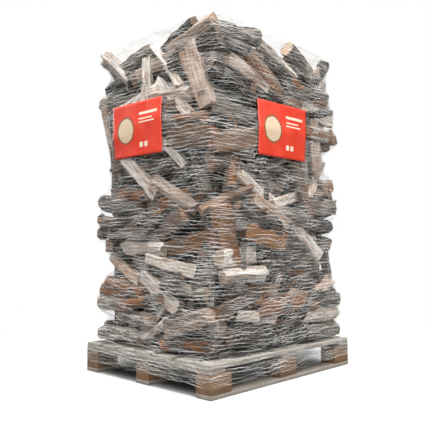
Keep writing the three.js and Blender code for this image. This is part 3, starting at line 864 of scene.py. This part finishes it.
def outline_of(kind):
    """Points round a section, each with whether the face that starts there is barked."""
    corners = SECTIONS[kind]
    lengths = [math.dist(corners[i], corners[(i + 1) % len(corners)]) for i in range(len(corners))]
    shares = [max(2, round(LOG_FACETS * length / sum(lengths))) for length in lengths]
    while sum(shares) != LOG_FACETS:
        change = 1 if sum(shares) < LOG_FACETS else -1
        most = max(range(len(shares)), key=lambda i: change * lengths[i] / shares[i])
        shares[most] += change
    points = []
    for i, share in enumerate(shares):
        (p0, q0), (p1, q1) = corners[i], corners[(i + 1) % len(corners)]
        barked = BARKED[kind][i]
        for n in range(share):
            t = n / share
            arch = BARK_SWELL * math.sin(math.pi * t) if barked else 0.0
            p = p0 + (p1 - p0) * t + (q1 - q0) * arch
            q = q0 + (q1 - q0) * t - (p1 - p0) * arch
            points.append((p, q, barked))
    return points


OUTLINES = {kind: outline_of(kind) for kind in SECTIONS}


def log_place(log):
    """The log's axes as a matrix: across, outwards and along, and its middle."""
    centre, ahead, beside = (Vector(point_of(log, *way)) for way in ((0, 0, 0), (1, 0, 0), (0, 1, 0)))
    axis = (ahead - centre).normalized()
    across = beside - centre
    turned = Matrix((across, axis.cross(across), axis)).transposed().to_4x4()
    return Matrix.Translation(centre * MM) @ turned


def tone_of(log, own):
    """Brightness, warmth and dirt of a log; logs without a set look are also made brighter or darker by
    their level, as painted light and shade.
    """
    if "look" in log:
        bright, warm = LOOKS[log["look"]]
    elif log["kind"] in ("bark", "round"):
        bright, warm = own.triangular(0.0, 1.0, 0.25), own.choice((0.1, 0.2, 0.45, 0.8))
    else:
        bright, warm = LOOKS[own.choice(("pale", "pale", "tan", "tan", "brown", "rust", "grey"))]
    # Painted light and shade: brighter or darker by the level that the log lies at
    if "look" not in log:
        bright *= float(np.interp(point_of(log, 0, 0, 0)[2], *LEVEL_SHADES))
    bright = max(0.0, bright + own.uniform(-0.08, 0.08))
    return bright, warm, own.uniform(0.0, 0.3 if bright > 0.9 else 0.7)


def add_log(bm, log, number):
    """Adds one log: its section, with bark and split faces, along a slightly bent and twisted length."""
    own = random.Random(number)
    kind, wide, thick, long = log["kind"], log["wide"] * MM, log["thick"] * MM, log["long"] * MM
    first = len(bm.verts)
    made = bmesh.ops.create_cone(
        bm, cap_ends=True, cap_tris=True, segments=LOG_FACETS, radius1=1, radius2=1, depth=1
    )["verts"]
    edges = {edge for vert in made for edge in vert.link_edges}
    drawn = [edge for edge in edges if edge.verts[0].co.z * edge.verts[1].co.z < 0]
    bmesh.ops.subdivide_edges(bm, edges=drawn, cuts=LOG_CUTS, use_grid_fill=True)
    bm.verts.ensure_lookup_table()
    verts = bm.verts[first:]
    turn = 2 * math.pi / LOG_FACETS
    for face in {face for vert in verts for face in vert.link_faces}:
        middle = face.calc_center_median()
        face.smooth = True
        if abs(middle.z) > 0.49999:
            face.material_index = 2
        else:
            facet = int(math.atan2(middle.y, middle.x) / turn % LOG_FACETS)
            face.material_index = 0 if OUTLINES[kind][facet][2] else 1
    grain, tone = bm.verts.layers.float_vector["grain"], bm.verts.layers.float_vector["tone"]
    place, shade = log_place(log), tone_of(log, own)
    loose = 1.0 if kind in ("bark", "round") else 0.5
    bows = loose * own.uniform(-0.011, 0.011), loose * own.uniform(-0.007, 0.007)
    taper = own.uniform(-0.12, 0.12) if kind in ("bark", "round") else own.uniform(-0.3, 0.3)
    twist = own.uniform(-0.18, 0.18)
    saw = [(own.uniform(-0.14, 0.14), own.uniform(-0.14, 0.14)) for _ in range(2)]
    offset = number * 1.37
    pith = PITH[kind][0] * wide, PITH[kind][1] * thick
    for vert in verts:
        s = vert.co.z
        p, q, barked = 0.0, 0.0, False
        if math.hypot(vert.co.x, vert.co.y) > 0.5:
            p, q, barked = OUTLINES[kind][round(math.atan2(vert.co.y, vert.co.x) / turn) % LOG_FACETS]
        size = SLIM * (1 + taper * s)
        x, y = p * wide * size, q * thick * size
        cos, sin = math.cos(twist * s), math.sin(twist * s)
        x, y = x * cos - y * sin, x * sin + y * cos
        wander = noise.noise_vector(Vector((x * 12, y * 12, s * 3.6 + offset)))
        rough = noise.noise_vector(Vector((x * 62, y * 62, s * (9 if barked else 2.8) + offset)))
        end = saw[0] if s < 0 else saw[1]
        z = s * long + (x * end[0] + y * end[1]) * abs(2 * s) ** 5
        if abs(s) > 0.49:
            z += TORN * rough.z
        x += WANDER * loose * wander.x + ROUGH * rough.x
        y += WANDER * loose * wander.y + ROUGH * rough.y
        vert[grain] = (x - pith[0], y - pith[1], z + offset)
        vert[tone] = shade
        bend = 1 - 4 * s * s
        vert.co = place @ Vector((x + bows[0] * bend, y + bows[1] * bend, z))
    for edge in {edge for vert in verts for edge in vert.link_edges}:
        edge.smooth = edge.calc_face_angle(0) < SHARP
    log_points.extend(vert.co.to_tuple() for vert in verts)
    for edge in {edge for vert in verts for edge in vert.link_edges}:
        one, other = (vert.co for vert in edge.verts)
        parts = int((other - one).length / NET_NEAR)
        edge_points.extend(one.lerp(other, part / parts).to_tuple() for part in range(1, parts))


def new_logs():
    bm = bmesh.new()
    bm.verts.layers.float_vector.new("grain")
    bm.verts.layers.float_vector.new("tone")
    return bm


def course_of(height):
    """Which of the five courses a height lies in."""
    share = (height - DECK_Z) / (HEART_TOP - DECK_Z)
    return min(COURSES, max(1, int(share * COURSES) + 1))


def build_logs():
    """The bedded logs in pieces of a few neighbours each, and the outermost ones on their own."""
    courses = {}
    for number, log in enumerate(logs[:-LOOSE_LOGS] + hollow):
        x, y, z = point_of(log, 0, 0, 0)
        courses.setdefault(course_of(z), []).append((math.atan2(y, x), number, log))
    for course, members in sorted(courses.items()):
        members.sort(key=lambda member: member[:2])
        parts = math.ceil(len(members) / PER_PIECE)
        for part in range(parts):
            bm = new_logs()
            for _, number, log in members[part * len(members) // parts : (part + 1) * len(members) // parts]:
                add_log(bm, log, number)
            name = f"stacked_logs_{course}_{part + 1:02d}"
            piece(name, bm, LOG_FINISHES, [f"logs_course_{course:02d}"])
    for n, log in enumerate(logs[-LOOSE_LOGS:]):
        bm = new_logs()
        add_log(bm, log, 1000 + n)
        piece(f"outer_log_{n + 1:02d}", bm, LOG_FINISHES, [f"loose_log_{n + 1:02d}"])


# Heart of the heap: plain logs, behind all that can be seen, coloured very dark as painted shade in the gaps
# between the outer logs

HEART_LOG = 0.046
HEART_ROW = 0.078
HEART_LONG = 0.33


def add_heart_log(bm, centre, along, own):
    """A plain log deep in the heap, coloured very dark as painted shade between the outer logs."""
    made = bmesh.ops.create_cone(
        bm, cap_ends=True, segments=8, radius1=HEART_LOG, radius2=HEART_LOG * 0.94, depth=HEART_LONG
    )["verts"]
    tilt = Matrix.Rotation(own.uniform(0, math.pi), 4, "Z")
    turned = Vector(along).to_track_quat("Z", "Y").to_matrix().to_4x4()
    grain, tone = bm.verts.layers.float_vector["grain"], bm.verts.layers.float_vector["tone"]
    # Painted shade: heart logs get almost no brightness, so that the gaps between the outer logs read as
    # shadow
    offset, shade = own.uniform(0, 50), (own.uniform(0.0, 0.2), 0.2, 0.2)
    for vert in made:
        vert[grain] = vert.co + Vector((0, 0, offset))
        vert[tone] = shade
        vert.co = Vector(centre) + turned @ tilt @ vert.co


def build_heart():
    own = random.Random(5)
    half_x, half_y = HEART_X * MM, HEART_Y * MM
    low, top = DECK_Z * MM, HEART_TOP * MM
    hearts = {course: new_logs() for course in range(1, COURSES + 1)}
    rows = int((top - low) / HEART_ROW)
    for row in range(rows):
        z = low + HEART_LOG + row * (top - low - 2 * HEART_LOG) / (rows - 1)
        bm = hearts[course_of(z / MM)]
        for face in (-1, 1):
            for place in (-1, 0, 1):
                middle = place * (half_x - HEART_LONG / 2) + own.uniform(-0.01, 0.01) * (place == 0)
                add_heart_log(bm, (middle, face * (half_y - HEART_LOG), z), (1, 0, 0), own)
            for place in (-1, 1):
                centre = (face * (half_x - HEART_LOG), place * (half_y - HEART_LONG / 2), z)
                add_heart_log(bm, centre, (0, 1, 0), own)
    for level in np.arange(low + HEART_LONG / 2, top - HEART_LONG / 2, HEART_LONG):
        for x in (-half_x, half_x):
            for y in (-half_y, half_y):
                leaning = (own.uniform(-0.1, 0.1), own.uniform(-0.1, 0.1), 1)
                middle = (x + own.uniform(-0.012, 0.012), y + own.uniform(-0.012, 0.012), level)
                add_heart_log(hearts[course_of(level / MM)], middle, leaning, own)
    for row in range(8):
        y = (row / 7 - 0.5) * 2 * (half_y - HEART_LOG)
        for place in (-1, 0, 1):
            for level in (top, low + 2 * HEART_LOG):
                centre = (place * (half_x - HEART_LONG / 2), y, level - HEART_LOG)
                add_heart_log(hearts[course_of(level / MM - 1)], centre, (1, 0, 0), own)
    for course, bm in hearts.items():
        piece(f"heart_logs_{course}", bm, LOG_FINISHES, [f"logs_course_{course:02d}"])


# Net

# Levels of the hem, and of the surface that is worked out below it
NET_HEM = 0.062
NET_FOOT = NET_HEM - 0.02
NET_PITCH = 0.0205
NET_MESH = 0.0195
NET_CLEAR = 0.003
NET_NEAR = 0.006
NET_LAYERS = 2
LAYER_GAP = 0.0015
NET_DRAW = 1.5
NET_WRAPS = 3
WRAPPED_TO = 0.165
YARN_THICK = 0.0013
THREAD = 0.32
NET_DIRECTIONS = 180
NET_ANGLES = 720
NET_FRACTIONS = 161
LEVEL_STEP = 0.005
HULL_FROM = 1.0
HULL_LEAN = 0.4


class Net:
    """The surface that the net is stretched into: out from the middle by level, and down from above."""

    def __init__(self, corners, more):
        half_x, half_y = PALLET_X * MM / 2, PALLET_Y * MM / 2
        levels = np.arange(NET_FOOT, DECK_Z * MM, LEVEL_STEP)
        deck = [(x, y, z) for x in (-half_x, half_x) for y in (-half_y, half_y) for z in levels]
        points = np.vstack([np.array(corners), np.array(deck)])
        self.levels = np.arange(NET_FOOT, points[:, 2].max() + 0.03, LEVEL_STEP)
        self.radii = self.polar(self.held_out(np.vstack([points, np.array(more)])))
        self.angles = np.arange(NET_ANGLES + 1) * 2 * math.pi / NET_ANGLES - math.pi
        self.planes = self.top_planes(points[points[:, 2] > HULL_FROM])

    def held_out(self, points):
        """How far out the net stands in each direction at each level."""
        angles = np.arange(NET_DIRECTIONS) * 2 * math.pi / NET_DIRECTIONS
        rows = np.round((points[:, 2] - self.levels[0]) / LEVEL_STEP).astype(int)
        rows = np.clip(rows, 0, len(self.levels) - 1)
        order = np.argsort(rows, kind="stable")
        found, starts = np.unique(rows[order], return_index=True)
        reach = np.full((len(self.levels), NET_DIRECTIONS), -1.0)
        for n, angle in enumerate(angles):
            out = points[:, 0] * math.cos(angle) + points[:, 1] * math.sin(angle)
            reach[found, n] = np.maximum.reduceat(out[order], starts)
        drawn = NET_DRAW * LEVEL_STEP
        for i in range(1, len(reach)):
            reach[i] = np.maximum(reach[i], reach[i - 1] - drawn)
        for i in reversed(range(len(reach) - 1)):
            reach[i] = np.maximum(reach[i], reach[i + 1] - drawn)
        padded = np.pad(reach, ((1, 1), (0, 0)), mode="edge")
        return np.maximum(reach, np.maximum(padded[:-2], padded[2:])) + NET_CLEAR

    def polar(self, reach):
        """The same as distances from the middle, at even angles."""
        angles = np.arange(NET_ANGLES + 1) * 2 * math.pi / NET_ANGLES - math.pi
        towards = np.arange(NET_DIRECTIONS) * 2 * math.pi / NET_DIRECTIONS
        cos = np.cos(angles[:, None] - towards[None, :])
        share = np.where(cos > 0.05, 1 / np.maximum(cos, 0.05), np.inf)
        return np.array([(row[None, :] * share).min(axis=1) for row in reach])

    def top_planes(self, points):
        """The planes of a sheet laid tight over the tips."""
        bm = bmesh.new()
        for point in points:
            bm.verts.new(point)
        hull = bmesh.ops.convex_hull(bm, input=list(bm.verts))
        faces = [f for f in hull["geom"] if isinstance(f, bmesh.types.BMFace) and f.normal.z > HULL_LEAN]
        planes = {tuple(round(c, 4) for c in (*f.normal, f.normal.dot(f.verts[0].co))) for f in faces}
        bm.free()
        return np.array(sorted(planes))

    def height(self, xy):
        """The level of the sheet over the top."""
        normals, reach = self.planes[:, :3], self.planes[:, 3]
        return ((reach - xy @ normals[:, :2].T) / normals[:, 2]).min(axis=-1) + NET_CLEAR

    def radius(self, angle, level):
        """How far out the net stands at an angle and a level."""
        row = np.clip((level - self.levels[0]) / LEVEL_STEP, 0, len(self.levels) - 1.001)
        column = (np.mod(angle + math.pi, 2 * math.pi)) / (2 * math.pi) * NET_ANGLES
        i, j = row.astype(int), np.minimum(column.astype(int), NET_ANGLES - 1)
        u, v = row - i, column - j
        r = self.radii
        below = r[i, j] * (1 - v) + r[i, j + 1] * v
        above = r[i + 1, j] * (1 - v) + r[i + 1, j + 1] * v
        return below * (1 - u) + above * u

    def even_angles(self, start, end, level, count):
        """Angles from start to end that are evenly far apart along the net at a level."""
        angles = np.linspace(start, end, NET_FRACTIONS)
        r = self.radius(angles, np.full(NET_FRACTIONS, level))
        steps = np.hypot(np.diff(r * np.cos(angles)), np.diff(r * np.sin(angles)))
        length = np.concatenate([[0], np.cumsum(steps)])
        return np.interp(np.linspace(0, length[-1], count), length, angles)


def sway(angle, level, reach, across, up, seed):
    """A smooth shift that runs on round the heap."""
    x, y = math.cos(angle) * 0.6 / across, math.sin(angle) * 0.6 / across
    return reach * noise.noise(Vector((x, y + seed * 7.7, level / up + seed)))


def runs_of(points, kept):
    """The stretches of a line of points that are kept."""
    run = []
    for point, keep in zip(points, kept):
        if keep:
            run.append(point)
        elif run:
            yield run
            run = []
    if run:
        yield run


def knitted(lines):
    """The runs of yarn along each line, and of the thinner thread that zigzags to the next line."""
    yarns, threads = [], []
    for points, kept in lines:
        yarns.extend(runs_of(points, kept))
    for k, ((points, kept), (next_points, next_kept)) in enumerate(zip(lines, lines[1:])):
        turns = [(points if (i + k) % 2 else next_points)[i] for i in range(len(points))]
        both = [(kept if (i + k) % 2 else next_kept)[i] for i in range(len(points))]
        threads.extend(runs_of(turns, both))
    return yarns, threads


def net_piece(name, yarns, threads):
    """Yarn and thread as one mesh, a part of the net."""
    curve = bpy.data.curves.new(name, "CURVE")
    curve.dimensions = "3D"
    curve.bevel_depth = YARN_THICK / 2
    curve.bevel_resolution = 0
    curve.use_fill_caps = True
    for runs, thick in ((yarns, 1.0), (threads, THREAD)):
        for run in runs:
            if len(run) < 2:
                continue
            spline = curve.splines.new("POLY")
            spline.points.add(len(run) - 1)
            spline.points.foreach_set("co", [c for point in run for c in (*point, 1.0)])
            spread = [noise.noise(Vector((9 * x, 9 * y, 34 * z))) for x, y, z in run]
            laps = [0.7 if point[2] < WRAPPED_TO else 1.0 for point in run]
            sizes = [thick * lap * max(0.3, 0.94 + 1.8 * share) for lap, share in zip(laps, spread)]
            spline.points.foreach_set("radius", sizes)
    holder = bpy.data.objects.new(name + "_curve", curve)
    mesh = bpy.data.meshes.new_from_object(holder)
    bpy.data.objects.remove(holder)
    bpy.data.curves.remove(curve)
    mesh.name = name
    mesh.materials.clear()
    made = shown(name, mesh, [YARN], ["net"])


NET_CORNER = math.atan2(0.5, 0.6)
NET_SIDES = {
    "net_right": (-NET_CORNER, NET_CORNER),
    "net_back": (NET_CORNER, math.pi - NET_CORNER),
    "net_left": (math.pi - NET_CORNER, math.pi + NET_CORNER),
    "net_front": (-math.pi + NET_CORNER, -NET_CORNER),
}


def sways(angle, level, layer):
    """How far the yarn strays up or down at a place on the heap."""
    return (
        sway(angle, level, 0.016, 0.3, 0.24, 1 + 9 * layer)
        + sway(angle, level, 0.013, 0.1, 0.06, 2 + 9 * layer)
        + sway(angle, level, 0.0085, 0.032, 0.02, 3 + 9 * layer)
    )


def side_lines(net, start, end, layer):
    """One layer's lines of yarn round a side, those past the first two only round the pallet."""
    count = round((end - start) * 0.62 / NET_MESH) // 2 * 2 + 1
    lines = []
    top = net.levels[-1] if layer < NET_LAYERS else WRAPPED_TO
    level = NET_HEM + layer * NET_PITCH / 2 % NET_PITCH
    while level < top:
        angles = net.even_angles(start, end, level, count)
        heights = level + np.array([sways(angle, level, layer) for angle in angles])
        r = net.radius(angles, heights) + LAYER_GAP * layer
        points = np.stack([r * np.cos(angles), r * np.sin(angles), heights], axis=1)
        lines.append((points.tolist(), (heights <= net.height(points[:, :2])).tolist()))
        level += NET_PITCH
    return lines


def top_sway(x, y, layer):
    """How far the yarn over the top strays aside."""
    broad = noise.noise(Vector((3 * x, 5 * y, 4.3 + layer)))
    fine = noise.noise(Vector((26 * x, 42 * y, 8.7 + layer)))
    return 0.022 * broad + 0.012 * fine


def top_lines(net, layer):
    """One layer's lines of yarn over the top."""
    lines = []
    half_x, half_y = 0.64, 0.54
    xs = np.arange(-half_x, half_x, NET_MESH)
    for y in np.arange(-half_y + layer * NET_PITCH / 2, half_y, NET_PITCH):
        shift = np.array([top_sway(x, y, layer) for x in xs])
        xy = np.stack([xs, y + shift], axis=1)
        z = net.height(xy) + LAYER_GAP * layer
        inside = np.hypot(xy[:, 0], xy[:, 1]) <= net.radius(np.arctan2(xy[:, 1], xy[:, 0]), z)
        lines.append((np.column_stack([xy, z]).tolist(), inside.tolist()))
    return lines


def rim_of(net):
    """Where the sides meet the sheet over the top."""
    rim = []
    for angle in np.linspace(-math.pi, math.pi, 181):
        levels = np.linspace(HULL_FROM, net.levels[-1], 300)
        r = net.radius(np.full(300, angle), levels)
        xy = np.stack([r * math.cos(angle), r * math.sin(angle)], axis=1)
        above = np.nonzero(levels > net.height(xy))[0]
        i = above[0] if len(above) else 299
        rim.append((*xy[i], levels[i]))
    return rim


def build_net(net):
    for name, (start, end) in NET_SIDES.items():
        yarns, threads = [], []
        for layer in range(NET_WRAPS):
            more_yarns, more_threads = knitted(side_lines(net, start, end, layer))
            yarns, threads = yarns + more_yarns, threads + more_threads
        net_piece(name, yarns, threads)
    yarns, threads = [rim_of(net)], []
    for layer in range(NET_LAYERS):
        more_yarns, more_threads = knitted(top_lines(net, layer))
        yarns, threads = yarns + more_yarns, threads + more_threads
    net_piece("net_top", yarns, threads)


# Labels

# The middle of each label along its side and above the ground
LABELS = (("front", -0.029, 1.342), ("left", -0.082, 1.354))
LABEL_CLEAR = 0.0035
LABEL_RIPPLE = 0.003
LABEL_THICK = 0.0015
LABEL_CELLS = (36, 24)


def net_out(net, side, along, level):
    """How far out of its side the net stands at places along it, at a level."""
    angles = np.linspace(*NET_SIDES[side], 400)
    r = net.radius(angles, np.full(400, level))
    x, y = r * np.cos(angles), r * np.sin(angles)
    u, out = (x, -y) if side == "net_front" else (-y, -x)
    order = np.argsort(u)
    return np.interp(along, u[order], out[order])


def film(held_out, tries=60):
    """How far out a film lies that rests on the net's bumps and bridges its hollows."""
    out = held_out.copy()
    for _ in range(tries):
        wide = np.pad(out, 1, mode="edge")
        around = wide[:-2, 1:-1] + wide[2:, 1:-1] + wide[1:-1, :-2] + wide[1:-1, 2:]
        out = np.maximum(held_out, around / 4)
    return out


def build_labels(net):
    columns, rows = LABEL_CELLS
    us = np.linspace(-0.5, 0.5, columns + 1) * LABEL_WIDE
    vs = np.linspace(-0.5, 0.5, rows + 1) * LABEL_TALL
    for name, along, height in LABELS:
        out = film(np.array([net_out(net, "net_" + name, along + us, height + v) for v in vs]))
        bm = bmesh.new()
        bm.loops.layers.uv.new("sheet")
        bmesh.ops.create_grid(bm, x_segments=columns, y_segments=rows, size=0.5, calc_uvs=True)
        for vert in bm.verts:
            u, v = vert.co.x * LABEL_WIDE, vert.co.y * LABEL_TALL
            ripple = LABEL_RIPPLE * (1 + noise.noise(Vector((u * 9, v * 2.5, along * 50))))
            row, column = round((vert.co.y + 0.5) * rows), round((vert.co.x + 0.5) * columns)
            away = out[row, column] + LABEL_CLEAR + ripple
            place = (along + u, -away) if name == "front" else (-away, -(along + u))
            vert.co = (*place, height + v)
        axes = {f"use_axis_{axis}": True for axis in "xyz"}
        bmesh.ops.smooth_vert(bm, verts=bm.verts, factor=0.5, **axes)
        bmesh.ops.recalc_face_normals(bm, faces=bm.faces)
        for face in bm.faces:
            face.smooth = True
        made = piece("sheet_" + name, bm, [LABEL_FILM], ["label_" + name])
        thick = made.modifiers.new("film", "SOLIDIFY")
        thick.thickness = LABEL_THICK


# Pallet


# Boards, in metres: the wear of their edges, their warp, and the nails along and across a board
WORN = (0.0014, 0.0024)
WARP = 0.0012
NAILS_ALONG = (-0.55, 0.0, 0.55)
NAILS_ACROSS = (-0.022, 0.026)


def add_board(bm, low, high, own):
    """A sawn board or block with worn edges, slightly warped."""
    low, high = Vector(low), Vector(high)
    made = bmesh.ops.create_cube(bm, size=1)["verts"]
    size, middle = high - low, (low + high) / 2
    bmesh.ops.transform(bm, verts=made, matrix=Matrix.Translation(middle) @ Matrix.Diagonal((*size, 1)))
    edges = list({edge for vert in made for edge in vert.link_edges})
    worn = own.uniform(*WORN)
    bmesh.ops.bevel(bm, geom=edges, affect="EDGES", offset=worn, segments=2, profile=0.5, material=-1)
    longest = max(range(3), key=lambda i: size[i])
    cuts = 10 if size[longest] > 0.5 else 3
    for n in range(1, cuts):
        where = Vector(low)
        where[longest] = low[longest] + size[longest] * n / cuts
        plane = Vector((0, 0, 0))
        plane[longest] = 1
        everything = bm.verts[:] + bm.edges[:] + bm.faces[:]
        bmesh.ops.bisect_plane(bm, geom=everything, plane_co=where, plane_no=plane)
    for vert in bm.verts:
        vert.co += WARP * noise.noise_vector(vert.co * 9)


def add_nail(bm, x, y, z):
    """A nail's head, almost flush with the board."""
    made = bmesh.ops.create_cone(
        bm, cap_ends=True, segments=8, radius1=0.004, radius2=0.0032, depth=0.0012
    )["verts"]
    bmesh.ops.translate(bm, verts=made, vec=(x, y, z + 0.0004))
    for face in {face for vert in made for face in vert.link_faces}:
        face.material_index = 1


PALLET_NODES = (("bottom_board", 3), ("stringer_board", 3), ("block", 9), ("deck_board", 7))


def build_pallet():
    own = random.Random(11)
    for node in [f"{kind}_{n:02d}" for kind, count in PALLET_NODES for n in range(1, count + 1)]:
        low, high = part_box(node)
        is_block = node.startswith("block")
        board = CROSS_BOARD if node.startswith("stringer") else LONG_BOARD
        bm = bmesh.new()
        add_board(bm, low, high, own)
        if node.startswith("deck"):
            for x in NAILS_ALONG:
                for side in NAILS_ACROSS:
                    add_nail(bm, x + own.uniform(-0.02, 0.02), (low[1] + high[1]) / 2 + side, high[2])
        for face in bm.faces:
            face.smooth = True
        for edge in bm.edges:
            edge.smooth = edge.calc_face_angle(0) < SHARP
        piece("sawn_" + node, bm, [BLOCK_WOOD if is_block else board, NAIL], [node])


# Light, floor and camera

SKY = 0.06
FLOOR_RADIUS = 2.2
# Painted light: from this distance out the floor glows, seen only by the camera, until it is as white as the
# background
GLOW_FROM = 0.9
GLOW_TO = 0.95 * FLOOR_RADIUS
FLOOR_BOUNCE = colour(150, 150, 150)
# Lines round the shade on the floor behind the heap: the way in, and how far in the middle lies
SHADE = [
    ((-0.52, 0.85, 0), 0.72),
    ((0.83, -0.56, 0), 0.75),
    ((1, 0, 0), 0.45),
    ((0, 1, 0), 0.35),
    ((-1, 0, 0), 1.0),
    ((0, -1, 0), 0.9),
]
# Soft boxes: place, what each is aimed at, size and power
LIGHTS = [
    ("overhead", (-1.4, -1.8, 6.6), (0, 0, 0.6), 3.4, 730),
    ("left", (-4.0, -1.6, 3.2), (0, 0, 0.9), 2.0, 142),
    ("front", (1.0, -4.6, 3.2), (0, 0, 0.9), 2.0, 117),
    ("back", (-1.0, 4.6, 3.2), (0, 0, 0.9), 2.0, 95),
    ("right", (4.6, 1.0, 3.2), (0, 0, 0.9), 2.0, 105),
]


def build_studio():
    scene = bpy.context.scene
    scene.view_settings.view_transform = "Standard"
    world = bpy.data.worlds.new("studio")
    scene.world = world
    world.use_nodes = True
    sky, tree = world.node_tree.nodes["Background"], world.node_tree
    seen = add(tree, "ShaderNodeLightPath").outputs["Is Camera Ray"]
    tree.links.new(maths(tree, "MULTIPLY_ADD", seen, 1.0 - SKY, SKY), sky.inputs["Strength"])
    sky.inputs["Color"].default_value = (1.0, 1.0, 1.0, 1.0)
    bm = bmesh.new()
    bmesh.ops.create_circle(bm, cap_ends=True, segments=96, radius=FLOOR_RADIUS)
    bmesh.ops.translate(bm, verts=bm.verts, vec=(0, 0, -0.001))
    mesh = bpy.data.meshes.new("floor")
    bm.to_mesh(mesh)
    bm.free()
    floor = bpy.data.objects.new("floor", mesh)
    scene.collection.objects.link(floor)
    made, tree, shader = finish("floor", 0.9)
    place = add(tree, "ShaderNodeTexCoord").outputs["Object"]
    pale = mixed(tree, noisy(tree, place, 3.0), colour(240, 240, 240), colour(236, 236, 236))
    # Painted shadow: the floor is made dark under the pallet and turns pale again just past its edges
    parts = add(tree, "ShaderNodeSeparateXYZ", {0: vectors(tree, "ABSOLUTE", place)[0]}).outputs
    past = [maths(tree, "SUBTRACT", parts[i], side * MM / 2) for i, side in enumerate((PALLET_X, PALLET_Y))]
    beyond = maths(tree, "MAXIMUM", *past)
    pale = mixed(tree, ramped(tree, beyond, -0.12, 0.06), colour(70, 68, 66), pale)
    # Painted shade: a soft darker patch on the floor behind the heap, inside the lines of SHADE
    ways = [(vectors(tree, "DOT_PRODUCT", place, way)["Value"], reach) for way, reach in SHADE]
    behind = [maths(tree, "ADD", along, reach) for along, reach in ways]
    inside = behind[0]
    for more in behind[1:]:
        inside = maths(tree, "MINIMUM", inside, more)
    pale = mixed(tree, ramped(tree, inside, 0.0, 0.3), pale, colour(132, 131, 130))
    # Only the camera sees the pale floor with its painted shadows; light bounces off it as a plain grey
    seen = add(tree, "ShaderNodeLightPath").outputs["Is Camera Ray"]
    tree.links.new(mixed(tree, seen, FLOOR_BOUNCE, pale), shader.inputs["Base Color"])
    # Painted light: the floor glows white towards its rim, for the camera only
    away = vectors(tree, "LENGTH", place)["Value"]
    shader.inputs["Emission Color"].default_value = (1.0, 1.0, 1.0, 1.0)
    rim_glow = maths(tree, "MULTIPLY", ramped(tree, away, GLOW_FROM, GLOW_TO), seen)
    tree.links.new(rim_glow, shader.inputs["Emission Strength"])
    mesh.materials.append(made)
    for name, where, aim, size, power in LIGHTS:
        lamp = bpy.data.lights.new(name, "AREA")
        lamp.energy, lamp.size = power, size
        made = bpy.data.objects.new(name, lamp)
        made.location = where
        made.rotation_euler = (Vector(aim) - Vector(where)).to_track_quat("-Z", "Y").to_euler()
        scene.collection.objects.link(made)
    data = bpy.data.cameras.new("camera")
    data.lens = CAMERA_LENS
    camera = bpy.data.objects.new("camera", data)
    azimuth = math.radians(CAMERA_AZIMUTH)
    forward = Vector((-math.sin(azimuth), math.cos(azimuth), 0))
    right = Vector((forward.y, -forward.x, 0))
    aside = CAMERA_ASIDE * right + Vector((0, 0, CAMERA_HEIGHT))
    camera.location = NEAR_CORNER - CAMERA_DISTANCE * forward + aside
    camera.rotation_euler = (math.radians(90 + CAMERA_TILT), 0, azimuth)
    scene.collection.objects.link(camera)
    scene.camera = camera


noise.seed_set(SEED)
# What holds the net out: the corners of the logs' faces, and more points along their edges
log_points, edge_points = [], []
logs, surfaces = heap_of_logs()
hollow = hollow_logs(surfaces)
build_studio()
build_pallet()
build_heart()
build_logs()
net = Net(log_points, edge_points)
build_net(net)
build_labels(net)
